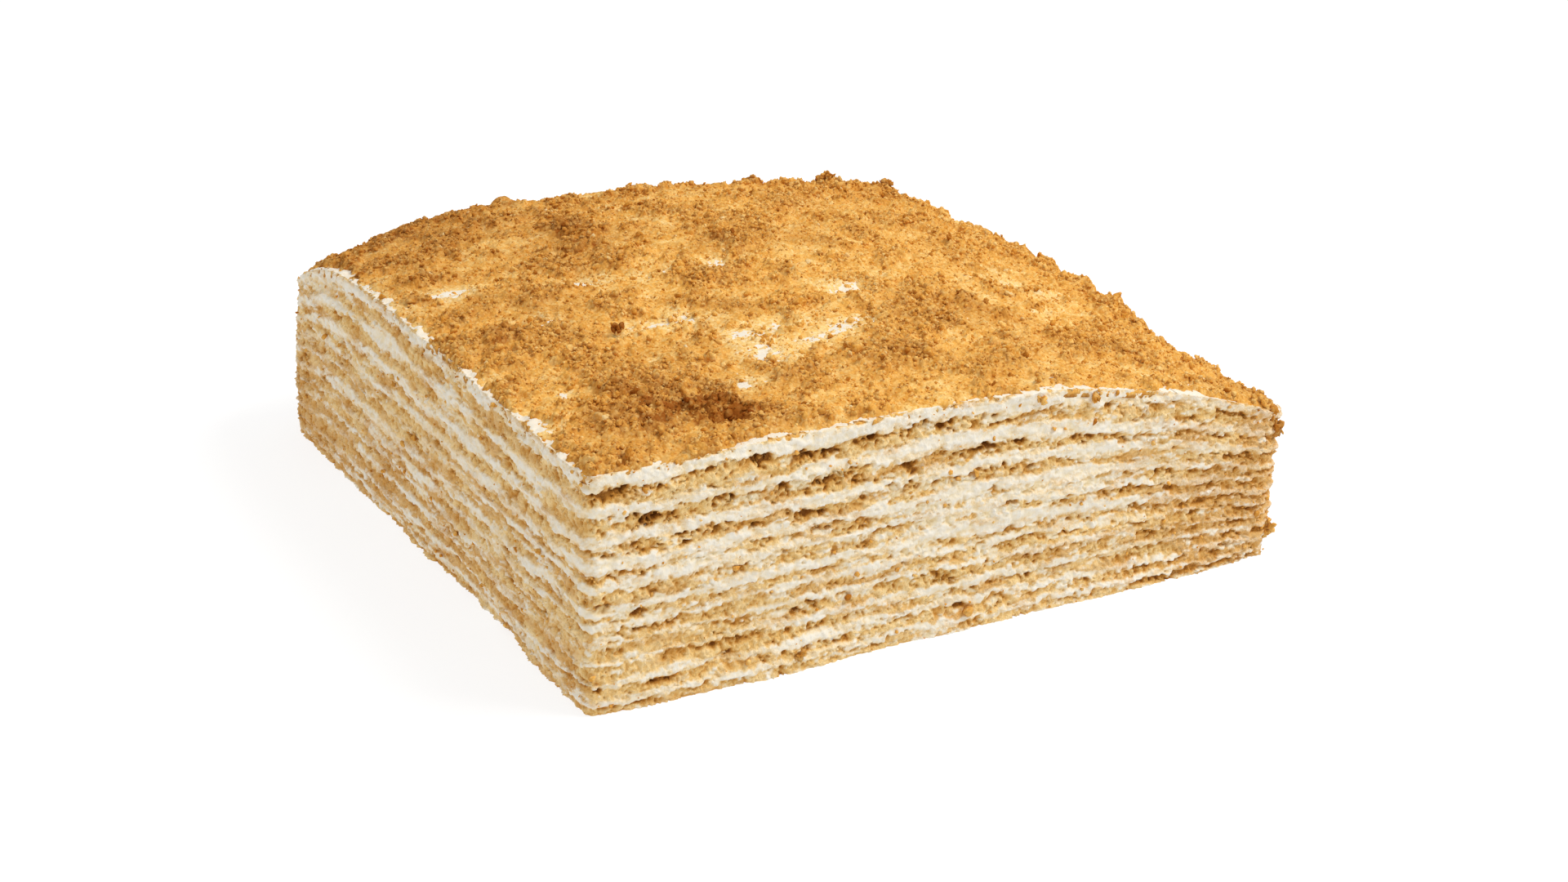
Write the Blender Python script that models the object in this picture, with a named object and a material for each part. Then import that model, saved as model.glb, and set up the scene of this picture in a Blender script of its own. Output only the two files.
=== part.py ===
"""A square-cut slab of medovik: thin biscuit sheets with cream between them and on top, under a coat of crumbs.

Metres, +Z up. The origin is in the middle of the footprint, on the surface that the slab stands on. The long cut
face looks along -Y and the short cut face along -X. The two sides behind them are the cake's rounded outer sides.
"""

import math
import random

import bmesh
import bpy
from mathutils import Vector

MM = 0.001

# Driving dimensions
LENGTH = 182 * MM
WIDTH = 180 * MM
GAP = 0.4 * MM

# Millimetres of each biscuit sheet and of the cream spread on it, from the base up
SHEETS_MM = (
    (1.9, 2.0),
    (2.2, 2.0),
    (2.8, 2.2),
    (2.4, 1.7),
    (2.2, 2.0),
    (1.8, 2.8),
    (2.8, 2.2),
    (1.8, 2.9),
    (2.8, 3.3),
    (3.2, 3.1),
    (4.0, 3.4),
)

# Corner radii of the slab seen from above, and how far the outer sides belly out
NEAR_RADIUS = 3 * MM
RIGHT_RADIUS = 6 * MM
BACK_RADIUS = 22 * MM
LEFT_RADIUS = 14 * MM
BELLY = 2 * MM
CORNER_STEPS = 12
SIDE_STEPS = 12

# The top sinks towards the outer sides: where that starts, and how deep it is at the side, in millimetres at even
# steps from the front to the back and from the left to the right
RIGHT_SLOPE_START = -10 * MM
RIGHT_SINKS_MM = (20, 21.5, 18.5, 17, 16)
BACK_SLOPE_START = 10 * MM
BACK_SINKS_MM = (8, 5, 7, 8, 7)
LEFT_CORNER_SLOPE_START = 50 * MM
LEFT_CORNER_SINK = 9 * MM

# How far the two outer sides lean in by the height of the top. The right one does it towards its back end.
BACK_LEAN = 8 * MM
RIGHT_LEAN = 2 * MM

# Sheets wave up and down by this share of the thinner of the two layers that meet there
WAVE_SHARE = 0.34
WAVE_SHORTEST = 24 * MM
WAVE_LONGEST = 80 * MM
WAVES_IN_SUM = 4

# Points round the edge of each layer, and the rings of points inside it as (share of the way out, points)
EDGE_POINTS = 72
RINGS = ((0.74, 18), (0.42, 9))

# How far an edge point may stand out from, or stay behind, the clean cut
BISCUIT_OUT, BISCUIT_IN = 0.5 * MM, 0.9 * MM
CREAM_OUT, CREAM_IN = 0.2 * MM, 0.6 * MM
OUTER_SIDE_RAGGED = 1.8

# The coat of crumbs: its own rings, its mean thickness, its bumps and its grains
COAT_RINGS = (
    (0.95, 72),
    (0.89, 72),
    (0.82, 72),
    (0.74, 72),
    (0.66, 72),
    (0.57, 36),
    (0.48, 36),
    (0.39, 36),
    (0.29, 18),
    (0.19, 18),
    (0.09, 9),
)
COAT_THICKNESS = 1.6 * MM
COAT_BUMP = 0.8 * MM
COAT_INSET_AT_CUT = 2.6 * MM
COAT_INSET_OUTSIDE = 0.8 * MM
GRAIN_COUNT = 42
GRAIN_RADII = (1.1 * MM, 2.0 * MM)
CLUMP_RADII = (1.8 * MM, 3.0 * MM)
GRAINS_IN_CLUMP = 3
CLUMP_SPREAD = 3.5 * MM
GRAIN_FLOOR = 0.6 * MM

# Single grains lie within this share of the way out to the edge
GRAIN_REACH = 0.94

# Middle of each clump of crumbs, in millimetres from the near corner along X and Y
CLUMPS_MM = (
    (31, 24),
    (44, 12),
    (24, 38),
    (16, 74),
    (12, 119),
    (62, 140),
    (89, 113),
    (107, 150),
    (127, 58),
    (96, 88),
    (116, 18),
    (150, 162),
    (159, 146),
    (162, 142),
    (175, 58),
    (175, 6),
    (171, 10),
)

SEED = 11

HALF_LENGTH = LENGTH / 2
HALF_WIDTH = WIDTH / 2
THICKNESSES = [size * MM for pair in SHEETS_MM for size in pair] + [COAT_THICKNESS]
LEVELS = [sum(THICKNESSES[:count]) for count in range(len(THICKNESSES))]
TOP_LEVEL = len(LEVELS) - 1
HEIGHT = LEVELS[TOP_LEVEL]

# Linear colour, roughness, and how far light goes into it
BISCUIT = ("biscuit", (0.56, 0.33, 0.12), 0.85, 0.10)
CREAM = ("cream", (0.86, 0.77, 0.61), 0.55, 0.25)
CRUMB = ("crumb", (0.60, 0.28, 0.06), 0.80, 0.05)


def clear_scene():
    for obj in list(bpy.data.objects):
        bpy.data.objects.remove(obj, do_unlink=True)


def make_material(name, colour, roughness, subsurface):
    material = bpy.data.materials.new(name)
    material.use_nodes = True
    shader = material.node_tree.nodes["Principled BSDF"]
    shader.inputs["Base Color"].default_value = (*colour, 1.0)
    shader.inputs["Roughness"].default_value = roughness
    shader.inputs["Metallic"].default_value = 0.0
    shader.inputs["Subsurface Weight"].default_value = subsurface
    return material


def past(value, start, end):
    """How far value is from start to end, 0 before start and unlimited after end."""
    return max(0.0, (value - start) / (end - start))


def between(values, share):
    """The value at a share of the way along evenly spaced values."""
    place = max(0.0, min(1.0, share)) * (len(values) - 1)
    first = min(int(place), len(values) - 2)
    return values[first] + (values[first + 1] - values[first]) * (place - first)


def cake_height(x, y):
    """Height of the uppermost cream over the point."""
    right = between(RIGHT_SINKS_MM, 0.5 + y / WIDTH) * MM
    back = between(BACK_SINKS_MM, 0.5 + x / LENGTH) * MM
    corner = LEFT_CORNER_SINK * past(-x, 0, HALF_LENGTH) ** 3
    sink = right * past(x, RIGHT_SLOPE_START, HALF_LENGTH) ** 2
    sink += back * past(y, BACK_SLOPE_START, HALF_WIDTH) ** 2
    sink += corner * past(y, LEFT_CORNER_SLOPE_START, HALF_WIDTH) ** 2
    return HEIGHT - sink


def leaned(point):
    """The point of an upright slab, moved to where it is in the slab whose outer sides lean in."""
    up = (point.z / HEIGHT) ** 2
    in_x = RIGHT_LEAN * up * past(point.x, 0, HALF_LENGTH) * past(point.y, -HALF_WIDTH, HALF_WIDTH)
    in_y = BACK_LEAN * up * past(point.y, 0, HALF_WIDTH)
    return Vector((point.x - in_x, point.y - in_y, point.z))


def make_waves(seed):
    """A few sine waves as (x share, y share, phase), from a seed of their own."""
    rng = random.Random(seed)
    waves = []
    for _ in range(WAVES_IN_SUM):
        turn = rng.uniform(0, math.pi)
        size = math.tau / rng.uniform(WAVE_SHORTEST, WAVE_LONGEST)
        waves.append((size * math.cos(turn), size * math.sin(turn), rng.uniform(0, math.tau)))
    return waves


WAVES = [make_waves(SEED + level) for level in range(len(LEVELS))]


def level_height(level, x, y):
    """Height over the point of the surface between two layers. Level 0 is the underside of the base."""
    if level == 0:
        return 0.0
    thinner = min(THICKNESSES[level - 1 : level + 1])
    wave = sum(math.sin(a * x + b * y + phase) for a, b, phase in WAVES[level]) / WAVES_IN_SUM
    return (LEVELS[level] + WAVE_SHARE * thinner * wave) * cake_height(x, y) / HEIGHT


def corner_arc(corner_x, corner_y, radius, start):
    """Points of one rounded corner, from the given direction in degrees through a quarter turn."""
    arc = []
    for step in range(CORNER_STEPS + 1):
        turn = math.radians(start + 90 * step / CORNER_STEPS)
        x = corner_x - math.copysign(radius, corner_x) + radius * math.cos(turn)
        y = corner_y - math.copysign(radius, corner_y) + radius * math.sin(turn)
        arc.append(Vector((x, y, 0)))
    return arc


def bellied(point):
    """The point drawn in where the outer sides, which belly out in the middle, fall back to their corners."""
    in_x = BELLY * (point.y / HALF_WIDTH) ** 2 * past(point.x, 0, HALF_LENGTH)
    in_y = BELLY * (point.x / HALF_LENGTH) ** 2 * past(point.y, 0, HALF_WIDTH)
    return Vector((point.x - in_x, point.y - in_y, 0))


def clean_outline(count):
    """(point, outward direction) evenly round the slab seen from above, anticlockwise from its near corner."""
    arcs = [
        corner_arc(-HALF_LENGTH, -HALF_WIDTH, NEAR_RADIUS, 180),
        corner_arc(HALF_LENGTH, -HALF_WIDTH, RIGHT_RADIUS, 270),
        corner_arc(HALF_LENGTH, HALF_WIDTH, BACK_RADIUS, 0),
        corner_arc(-HALF_LENGTH, HALF_WIDTH, LEFT_RADIUS, 90),
    ]
    dense = []
    for arc, following in zip(arcs, arcs[1:] + arcs[:1]):
        side = [arc[-1].lerp(following[0], step / SIDE_STEPS) for step in range(1, SIDE_STEPS)]
        dense += [bellied(point) for point in arc + side]
    dense = dense[CORNER_STEPS // 2 :] + dense[: CORNER_STEPS // 2]
    sides = list(zip(dense, dense[1:] + dense[:1]))
    step_length = sum((end - start).length for start, end in sides) / count
    outline = []
    walked = 0.0
    for start, end in sides:
        along = end - start
        while len(outline) < count and walked + along.length > step_length * len(outline):
            share = (step_length * len(outline) - walked) / along.length
            outward = Vector((along.y, -along.x, 0)).normalized()
            outline.append((start + share * along, outward))
        walked += along.length
    return outline


OUTLINE = clean_outline(EDGE_POINTS)


def on_outer_side(point):
    return point.x > HALF_LENGTH - LEFT_RADIUS or point.y > HALF_WIDTH - LEFT_RADIUS


def in_footprint(point):
    x = max(-HALF_LENGTH, min(HALF_LENGTH, point.x))
    y = max(-HALF_WIDTH, min(HALF_WIDTH, point.y))
    return Vector((x, y, point.z))


def ragged_edge(rng, stands_out, stays_in):
    """The outline with every point moved in or out a little, kept inside the footprint."""
    edge = []
    for point, outward in OUTLINE:
        scale = OUTER_SIDE_RAGGED if on_outer_side(point) else 1.0
        edge.append(in_footprint(point + outward * rng.uniform(-stays_in, stands_out) * scale))
    return edge


def inner_ring(share, count):
    """Points of the clean outline drawn in towards the middle."""
    return [OUTLINE[index * EDGE_POINTS // count][0] * share for index in range(count)]


def stitch(mesh, outer, inner, facing_up):
    """Triangles between two rings, where each inner point faces one or more outer ones."""
    per_inner = len(outer) // len(inner)
    half = per_inner // 2
    triangles = []
    for index, corner in enumerate(inner):
        following = inner[(index + 1) % len(inner)]
        first = index * per_inner - half
        for step in range(first, first + per_inner):
            triangles.append((corner, outer[step % len(outer)], outer[(step + 1) % len(outer)]))
        triangles.append((corner, outer[(first + per_inner) % len(outer)], following))
    for triangle in triangles:
        mesh.faces.new(triangle if facing_up else triangle[::-1])


def close_surface(mesh, edge, rings, height_at, facing_up):
    """Fills a layer's upper or lower surface from its edge to its middle. edge holds the mesh's own points."""
    outer = edge
    for share, count in rings:
        inner = [mesh.verts.new((p.x, p.y, height_at(p.x, p.y))) for p in inner_ring(share, count)]
        stitch(mesh, outer, inner, facing_up)
        outer = inner
    middle = mesh.verts.new((0, 0, height_at(0, 0)))
    for start, end in zip(outer, outer[1:] + outer[:1]):
        triangle = (middle, start, end)
        mesh.faces.new(triangle if facing_up else triangle[::-1])


def slab_mesh(lower, upper):
    """A closed slab. lower and upper are (edge points, rings, height function)."""
    mesh = bmesh.new()
    edges = []
    for (edge, rings, height_at), facing_up in ((lower, False), (upper, True)):
        points = [mesh.verts.new((p.x, p.y, height_at(p.x, p.y))) for p in edge]
        close_surface(mesh, points, rings, height_at, facing_up)
        edges.append(points)
    low, high = edges
    for index in range(len(low)):
        after = (index + 1) % len(low)
        mesh.faces.new((low[index], low[after], high[after]))
        mesh.faces.new((low[index], high[after], high[index]))
    return mesh


def add_object(name, mesh, material):
    data = bpy.data.meshes.new(name)
    mesh.to_mesh(data)
    mesh.free()
    data.materials.append(material)
    obj = bpy.data.objects.new(name, data)
    bpy.context.scene.collection.objects.link(obj)
    return obj


def add_layer(name, level, stands_out, stays_in, material):
    """One sheet of biscuit or spread of cream, from its level up to the next."""
    rng = random.Random(SEED * 100 + level)
    lift = GAP / 2 if level else 0.0
    low_edge = ragged_edge(rng, stands_out, stays_in)
    high_edge = ragged_edge(rng, stands_out, stays_in)
    lower = (low_edge, RINGS, lambda x, y: level_height(level, x, y) + lift)
    upper = (high_edge, RINGS, lambda x, y: level_height(level + 1, x, y) - GAP / 2)
    return add_object(name, slab_mesh(lower, upper), material)


def coat_top(rng):
    """The height function of the crumb coat's upper side: a bumpy skin over the uppermost cream."""

    def height(x, y):
        bump = rng.uniform(-COAT_BUMP, COAT_BUMP)
        return level_height(TOP_LEVEL, x, y) + COAT_THICKNESS + bump

    return height


def coat_edge(rng):
    """The crumbs stop a ragged way short of the cuts, and reach nearly to the outer sides."""
    edge = []
    for point, outward in OUTLINE:
        inset = COAT_INSET_OUTSIDE if on_outer_side(point) else COAT_INSET_AT_CUT
        edge.append(point - outward * rng.uniform(0.3, 1.0) * inset)
    return edge


def grain_places(rng):
    """(x, y, radius) of each grain that shows: clumps where they lie, and single grains spread evenly between."""
    places = []
    for from_left, from_front in CLUMPS_MM:
        middle_x = from_left * MM - HALF_LENGTH
        middle_y = from_front * MM - HALF_WIDTH
        for _ in range(GRAINS_IN_CLUMP):
            x = middle_x + rng.uniform(-CLUMP_SPREAD, CLUMP_SPREAD)
            y = middle_y + rng.uniform(-CLUMP_SPREAD, CLUMP_SPREAD)
            places.append((x, y, rng.uniform(*CLUMP_RADII)))
    for _ in range(GRAIN_COUNT):
        on_edge = rng.choice(OUTLINE)[0]
        spot = on_edge * GRAIN_REACH * math.sqrt(rng.random())
        places.append((spot.x, spot.y, rng.uniform(*GRAIN_RADII)))
    return places


def add_grain(rng, x, y, radius, collection):
    """One rough grain, sunk in the coat and flat where it would reach the cream."""
    mesh = bmesh.new()
    bmesh.ops.create_icosphere(mesh, subdivisions=1, radius=radius)
    middle = Vector((x, y, level_height(TOP_LEVEL, x, y) + COAT_THICKNESS + 0.1 * radius))
    for vert in mesh.verts:
        vert.co = in_footprint(middle + vert.co * rng.uniform(0.8, 1.15))
        vert.co.z = max(vert.co.z, level_height(TOP_LEVEL, vert.co.x, vert.co.y) + GRAIN_FLOOR)
    data = bpy.data.meshes.new("grain")
    mesh.to_mesh(data)
    mesh.free()
    collection.objects.link(bpy.data.objects.new("grain", data))


def add_crumb_topping(material):
    """The coat of crumbs, with the grains that show fused to it."""
    rng = random.Random(SEED)
    edge = coat_edge(rng)
    lower = (edge, RINGS, lambda x, y: level_height(TOP_LEVEL, x, y) + GAP / 2)
    upper = (edge, COAT_RINGS, coat_top(rng))
    topping = add_object("crumb_topping", slab_mesh(lower, upper), material)

    grains = bpy.data.collections.new("grains")
    bpy.context.scene.collection.children.link(grains)
    for x, y, radius in grain_places(rng):
        add_grain(rng, x, y, radius, grains)
    union = topping.modifiers.new("fuse grains", "BOOLEAN")
    union.operation = "UNION"
    union.operand_type = "COLLECTION"
    union.collection = grains
    union.solver = "MANIFOLD"
    with bpy.context.temp_override(object=topping, active_object=topping):
        bpy.ops.object.modifier_apply(modifier=union.name)
    for grain in list(grains.objects):
        bpy.data.objects.remove(grain, do_unlink=True)
    bpy.data.collections.remove(grains)


def main():
    clear_scene()
    biscuit = make_material(*BISCUIT)
    cream = make_material(*CREAM)
    crumb = make_material(*CRUMB)
    for index in range(len(SHEETS_MM)):
        number = f"{index + 1:02d}"
        add_layer(f"biscuit_{number}", 2 * index, BISCUIT_OUT, BISCUIT_IN, biscuit)
        add_layer(f"cream_{number}", 2 * index + 1, CREAM_OUT, CREAM_IN, cream)
    add_crumb_topping(crumb)
    for obj in bpy.data.objects:
        for vertex in obj.data.vertices:
            vertex.co = leaned(vertex.co)


main()
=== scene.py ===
"""A cut slab of medovik: torn biscuit sheets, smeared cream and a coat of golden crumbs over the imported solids.

The slab stands in the frame as packed, in metres. Shapes are worked out here in millimetres, from the same driving
dimensions as the solids, and become metres in mesh_object.
"""

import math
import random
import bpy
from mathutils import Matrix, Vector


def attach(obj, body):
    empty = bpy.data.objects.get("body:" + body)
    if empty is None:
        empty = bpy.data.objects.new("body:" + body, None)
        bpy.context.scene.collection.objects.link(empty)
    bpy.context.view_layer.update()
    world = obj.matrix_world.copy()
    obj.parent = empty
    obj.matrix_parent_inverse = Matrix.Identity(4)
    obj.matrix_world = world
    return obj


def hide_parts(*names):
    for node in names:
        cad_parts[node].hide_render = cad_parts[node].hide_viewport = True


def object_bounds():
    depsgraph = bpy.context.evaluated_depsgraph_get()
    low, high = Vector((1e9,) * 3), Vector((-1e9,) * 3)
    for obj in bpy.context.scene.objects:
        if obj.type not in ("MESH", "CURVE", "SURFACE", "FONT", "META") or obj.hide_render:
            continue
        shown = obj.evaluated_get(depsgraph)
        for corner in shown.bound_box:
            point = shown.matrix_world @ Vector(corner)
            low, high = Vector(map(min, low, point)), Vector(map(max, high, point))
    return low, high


bl_info = {
    "name": "Medovik Slab",
    "version": (1, 0, 0),
    "blender": (4, 5, 0),
    "location": "3D View > Sidebar > Medovik",
    "description": "Dresses a packed slab of honey cake with biscuit, cream and crumbs",
    "category": "Add Mesh",
}

from functools import cache, partial
from itertools import product

import bmesh
import bpy
import numpy as np
from mathutils import Matrix, Vector

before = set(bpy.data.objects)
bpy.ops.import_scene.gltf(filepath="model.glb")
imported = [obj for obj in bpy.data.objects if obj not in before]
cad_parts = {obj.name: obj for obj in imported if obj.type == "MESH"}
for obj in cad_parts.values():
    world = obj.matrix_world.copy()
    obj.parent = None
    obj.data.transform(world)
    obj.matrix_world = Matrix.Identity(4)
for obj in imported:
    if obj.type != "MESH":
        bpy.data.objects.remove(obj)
CAD_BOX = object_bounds()

MM = 0.001
LENGTH = (CAD_BOX[1][0] - CAD_BOX[0][0]) / MM
WIDTH = (CAD_BOX[1][1] - CAD_BOX[0][1]) / MM
HALF_LENGTH = LENGTH / 2
HALF_WIDTH = WIDTH / 2

# Millimetres of each biscuit sheet and of the cream spread on it, from the base up
SHEETS = (
    (1.9, 2.0), (2.2, 2.0), (2.8, 2.2), (2.4, 1.7), (2.2, 2.0), (1.8, 2.8), (2.8, 2.2), (1.8, 2.9), (2.8, 3.3),
    (3.2, 3.1), (4.0, 3.4),
)
COAT_THICKNESS = 1.6
THICKNESSES = [size for pair in SHEETS for size in pair] + [COAT_THICKNESS]
LEVELS = [sum(THICKNESSES[:count]) for count in range(len(THICKNESSES))]
TOP_LEVEL = len(LEVELS) - 1
HEIGHT = LEVELS[TOP_LEVEL]

# Corner radii of the slab seen from above, and how far the outer sides belly out
NEAR_RADIUS, RIGHT_RADIUS, BACK_RADIUS, LEFT_RADIUS = 3.0, 6.0, 22.0, 14.0
BELLY = 2.0
CORNER_STEPS = 24
SIDE_STEPS = 48

# The top sinks towards the outer sides: where that starts, and how deep it is at the side, at even steps from the
# front to the back and from the left to the right
RIGHT_SLOPE_START, RIGHT_SINKS = -10.0, (20, 21.5, 18.5, 17, 16)
BACK_SLOPE_START, BACK_SINKS = 10.0, (8, 5, 7, 8, 7)
LEFT_CORNER_SLOPE_START, LEFT_CORNER_SINK = 50.0, 13.5

# How far the two outer sides lean in by the height of the top. The right one does it towards its back end.
BACK_LEAN, RIGHT_LEAN = 8.0, 2.0

# Sheets wave up and down by this share of the thinner of the two layers that meet there, in a sum of a few waves
# with lengths from the shortest to the longest
WAVE_SHARE, WAVE_SHORTEST, WAVE_LONGEST, WAVES_IN_SUM = 0.34, 24.0, 80.0, 4
WAVE_SEED = 11

# Columns of points round each layer's wall, closer together on the two cut faces, and the height of a row of them
WALL_COLUMNS = 2112
OUTSIDE_SPACING = 1.9
ROW_HEIGHT = 0.27
# Rings that close a layer inside, as (share of the way out from the middle, points). Holes in the crumb stay outside
# the first of them.
CLOSING_RINGS = ((0.95, WALL_COLUMNS // 4), (0.75, WALL_COLUMNS // 24), (0.4, WALL_COLUMNS // 96))
DEEPEST_HOLE = 2.6
# Further off than any neighbour that counts, in millimetres
FAR = 9.0


def linear(hex_colour):
    """Linear colour of an sRGB hex value."""
    values = [int(hex_colour[start : start + 2], 16) / 255 for start in (0, 2, 4)]
    return tuple(v / 12.92 if v <= 0.04045 else ((v + 0.055) / 1.055) ** 2.4 for v in values)


def smooth(low, high, value):
    """0 below low, 1 above high and an even rise between."""
    share = np.clip((value - low) / (high - low), 0, 1)
    return share * share * (3 - 2 * share)


# Large primes that mix the numbers of a cell, and the corners of a cell
PRIMES = [np.uint32(prime) for prime in (374761393, 668265263, 2246822519, 3266489917)]
CELL_CORNERS = tuple(product((0, 1), repeat=3))


def cell_number(ix, iy, iz, seed):
    """A repeatable number from 0 to 1 for each cell of space."""
    mixed = sum(index.astype(np.uint32) * prime for index, prime in zip((ix, iy, iz), PRIMES))
    mixed = mixed + np.uint32(seed * int(PRIMES[3]) % 2**32)
    mixed = (mixed ^ (mixed >> np.uint32(15))) * PRIMES[2]
    mixed = (mixed ^ (mixed >> np.uint32(13))) * PRIMES[3]
    mixed = mixed ^ (mixed >> np.uint32(16))
    return mixed.astype(np.float64) / 2**32


def noise(points, size, seed):
    """Smooth noise, mostly from -1 to 1. size is the width of its bumps in millimetres, one number or one an axis."""
    spot = points / np.asarray(size, float)
    base = np.floor(spot)
    part = spot - base
    part = part * part * part * (part * (part * 6 - 15) + 10)
    shares = (1 - part, part)
    base = base.astype(np.int64)
    total = np.zeros(len(points))
    for corner in CELL_CORNERS:
        in_x, in_y, in_z = (shares[side][:, axis] for axis, side in enumerate(corner))
        total += in_x * in_y * in_z * cell_number(*(base + corner).T, seed)
    return 1.6 * (2 * total - 1)


def rough(points, size, seed, octaves=3):
    """Noise with finer noise on it, each half as wide and half as strong."""
    total = np.zeros(len(points))
    size = np.asarray(size, float)
    for octave in range(octaves):
        total += noise(points, size / 2**octave, seed + octave) / 2**octave
    return total / 1.15


def bubbles(points, cell, radii, share, seed):
    """Depth below the surface of round holes cut open, where a share of the cells holds one up to half a cell wide."""
    spot = points / cell
    base = np.floor(spot - 0.5).astype(np.int64)
    depth = np.zeros(len(points))
    smallest, largest = radii
    for corner in CELL_CORNERS:
        cells = (base + corner).T
        size = cell_number(*cells, seed)
        radius = np.where(size < share, smallest + (largest - smallest) * size / share, 0)
        away = sum(
            (cells[axis] + cell_number(*cells, seed + 1 + axis) - spot[:, axis]) ** 2 for axis in range(3)
        )
        depth = np.maximum(depth, radius**2 - away * cell**2)
    return np.sqrt(depth)


def heap(points, cell, radii, lift, share, seed):
    """Height of packed round crumbs over a flat bed, and a number from 0 to 1 for the crumb on top of each point."""
    spot = points[:, :2] / cell
    base = np.floor(spot).astype(np.int64)
    height = np.full(len(points), -FAR)
    tone = np.full(len(points), 0.5)
    smallest, largest = radii
    for step in product((-1, 0, 1), repeat=2):
        cells = (base + step).T
        size, in_x, in_y, raised, own_tone = (
            cell_number(*cells, np.full(len(points), number), seed) for number in range(5)
        )
        radius = np.where(size < share, smallest + (largest - smallest) * (size / share) ** 2, 0)
        away = ((cells[0] + in_x - spot[:, 0]) ** 2 + (cells[1] + in_y - spot[:, 1]) ** 2) * cell**2
        top = np.where(away < radius**2, lift * raised + np.sqrt(np.maximum(radius**2 - away, 0)), -FAR)
        over = top > height
        height = np.where(over, top, height)
        tone = np.where(over, own_tone, tone)
    return height, tone


def past(value, start, end):
    """How far value is from start to end, 0 before start and unlimited after end."""
    return np.maximum(0, (value - start) / (end - start))


def between(values, share):
    """The value at a share of the way along evenly spaced values."""
    return np.interp(share, np.linspace(0, 1, len(values)), values)


def cake_height(x, y):
    """Height of the uppermost cream over each point."""
    right = between(RIGHT_SINKS, 0.5 + y / WIDTH)
    back = between(BACK_SINKS, 0.5 + x / LENGTH)
    corner = LEFT_CORNER_SINK * past(-x, 0, HALF_LENGTH) ** 3
    sink = right * past(x, RIGHT_SLOPE_START, HALF_LENGTH) ** 2
    sink = sink + back * past(y, BACK_SLOPE_START, HALF_WIDTH) ** 2
    return HEIGHT - sink - corner * past(y, LEFT_CORNER_SLOPE_START, HALF_WIDTH) ** 2


def leaned(points):
    """The points of an upright slab, moved to where they are in the slab whose outer sides lean in."""
    x, y, z = points.T
    up = (z / HEIGHT) ** 2
    in_x = RIGHT_LEAN * up * past(x, 0, HALF_LENGTH) * past(y, -HALF_WIDTH, HALF_WIDTH)
    in_y = BACK_LEAN * up * past(y, 0, HALF_WIDTH)
    return np.column_stack([x - in_x, y - in_y, z])


def make_waves(seed):
    """A few sine waves as (x share, y share, phase), from a seed of their own."""
    rng = random.Random(seed)
    waves = []
    for _ in range(WAVES_IN_SUM):
        turn = rng.uniform(0, math.pi)
        size = math.tau / rng.uniform(WAVE_SHORTEST, WAVE_LONGEST)
        waves.append((size * math.cos(turn), size * math.sin(turn), rng.uniform(0, math.tau)))
    return waves


WAVES = [make_waves(WAVE_SEED + level) for level in range(len(LEVELS))]


def level_height(level, x, y, lift=0):
    """Height of the surface between two layers over each point. Level 0 is the underside of the base."""
    if level == 0:
        return np.zeros_like(x)
    thinner = min(THICKNESSES[level - 1 : level + 1])
    wave = sum(np.sin(a * x + b * y + phase) for a, b, phase in WAVES[level]) / WAVES_IN_SUM
    return (LEVELS[level] + WAVE_SHARE * thinner * wave) * cake_height(x, y) / HEIGHT + lift


def corner_arc(corner_x, corner_y, radius, start):
    """Points of one rounded corner, from the given direction in degrees through a quarter turn."""
    turns = np.radians(start + 90 * np.arange(CORNER_STEPS + 1) / CORNER_STEPS)
    x = corner_x - math.copysign(radius, corner_x) + radius * np.cos(turns)
    y = corner_y - math.copysign(radius, corner_y) + radius * np.sin(turns)
    return np.stack([x, y], 1)


def dense_outline():
    """Many points round the slab seen from above, anticlockwise from its near corner."""
    arcs = [
        corner_arc(-HALF_LENGTH, -HALF_WIDTH, NEAR_RADIUS, 180),
        corner_arc(HALF_LENGTH, -HALF_WIDTH, RIGHT_RADIUS, 270),
        corner_arc(HALF_LENGTH, HALF_WIDTH, BACK_RADIUS, 0),
        corner_arc(-HALF_LENGTH, HALF_WIDTH, LEFT_RADIUS, 90),
    ]
    dense = []
    for arc, following in zip(arcs, arcs[1:] + arcs[:1]):
        shares = np.arange(1, SIDE_STEPS)[:, None] / SIDE_STEPS
        dense += [arc, arc[-1] + (following[0] - arc[-1]) * shares]
    x, y = np.roll(np.concatenate(dense), -CORNER_STEPS // 2, axis=0).T
    in_x = BELLY * (y / HALF_WIDTH) ** 2 * np.maximum(0, x / HALF_LENGTH)
    in_y = BELLY * (x / HALF_LENGTH) ** 2 * np.maximum(0, y / HALF_WIDTH)
    return np.stack([x - in_x, y - in_y], 1)


def outline(count, outside_spacing=1.0):
    """(points, outward directions, shares of the way round) from the near corner, anticlockwise.

    The points are spaced more widely on the outer sides, by outside_spacing.
    """
    closed = dense_outline()
    closed = np.vstack([closed, closed[:1]])
    lengths = np.linalg.norm(np.diff(closed, axis=0), axis=1)
    walked = np.concatenate([[0], np.cumsum(lengths)])
    middles = (closed[1:] + closed[:-1]) / 2
    cut = (middles[:, 1] < 1 - HALF_WIDTH) | (middles[:, 0] < 1 - HALF_LENGTH)
    effort = np.concatenate([[0], np.cumsum(lengths / np.where(cut, 1, outside_spacing))])
    marks = np.interp(effort[-1] * np.arange(count) / count, effort, walked)
    points = np.stack([np.interp(marks, walked, closed[:, axis]) for axis in (0, 1)], 1)
    along = np.roll(points, -1, axis=0) - np.roll(points, 1, axis=0)
    outward = np.stack([along[:, 1], -along[:, 0]], 1)
    return points, outward / np.linalg.norm(outward, axis=1, keepdims=True), marks / walked[-1]


def placed(name, data):
    """A new object in the scene that shows the data."""
    obj = bpy.data.objects.new(name, data)
    bpy.context.scene.collection.objects.link(obj)
    return obj


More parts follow.
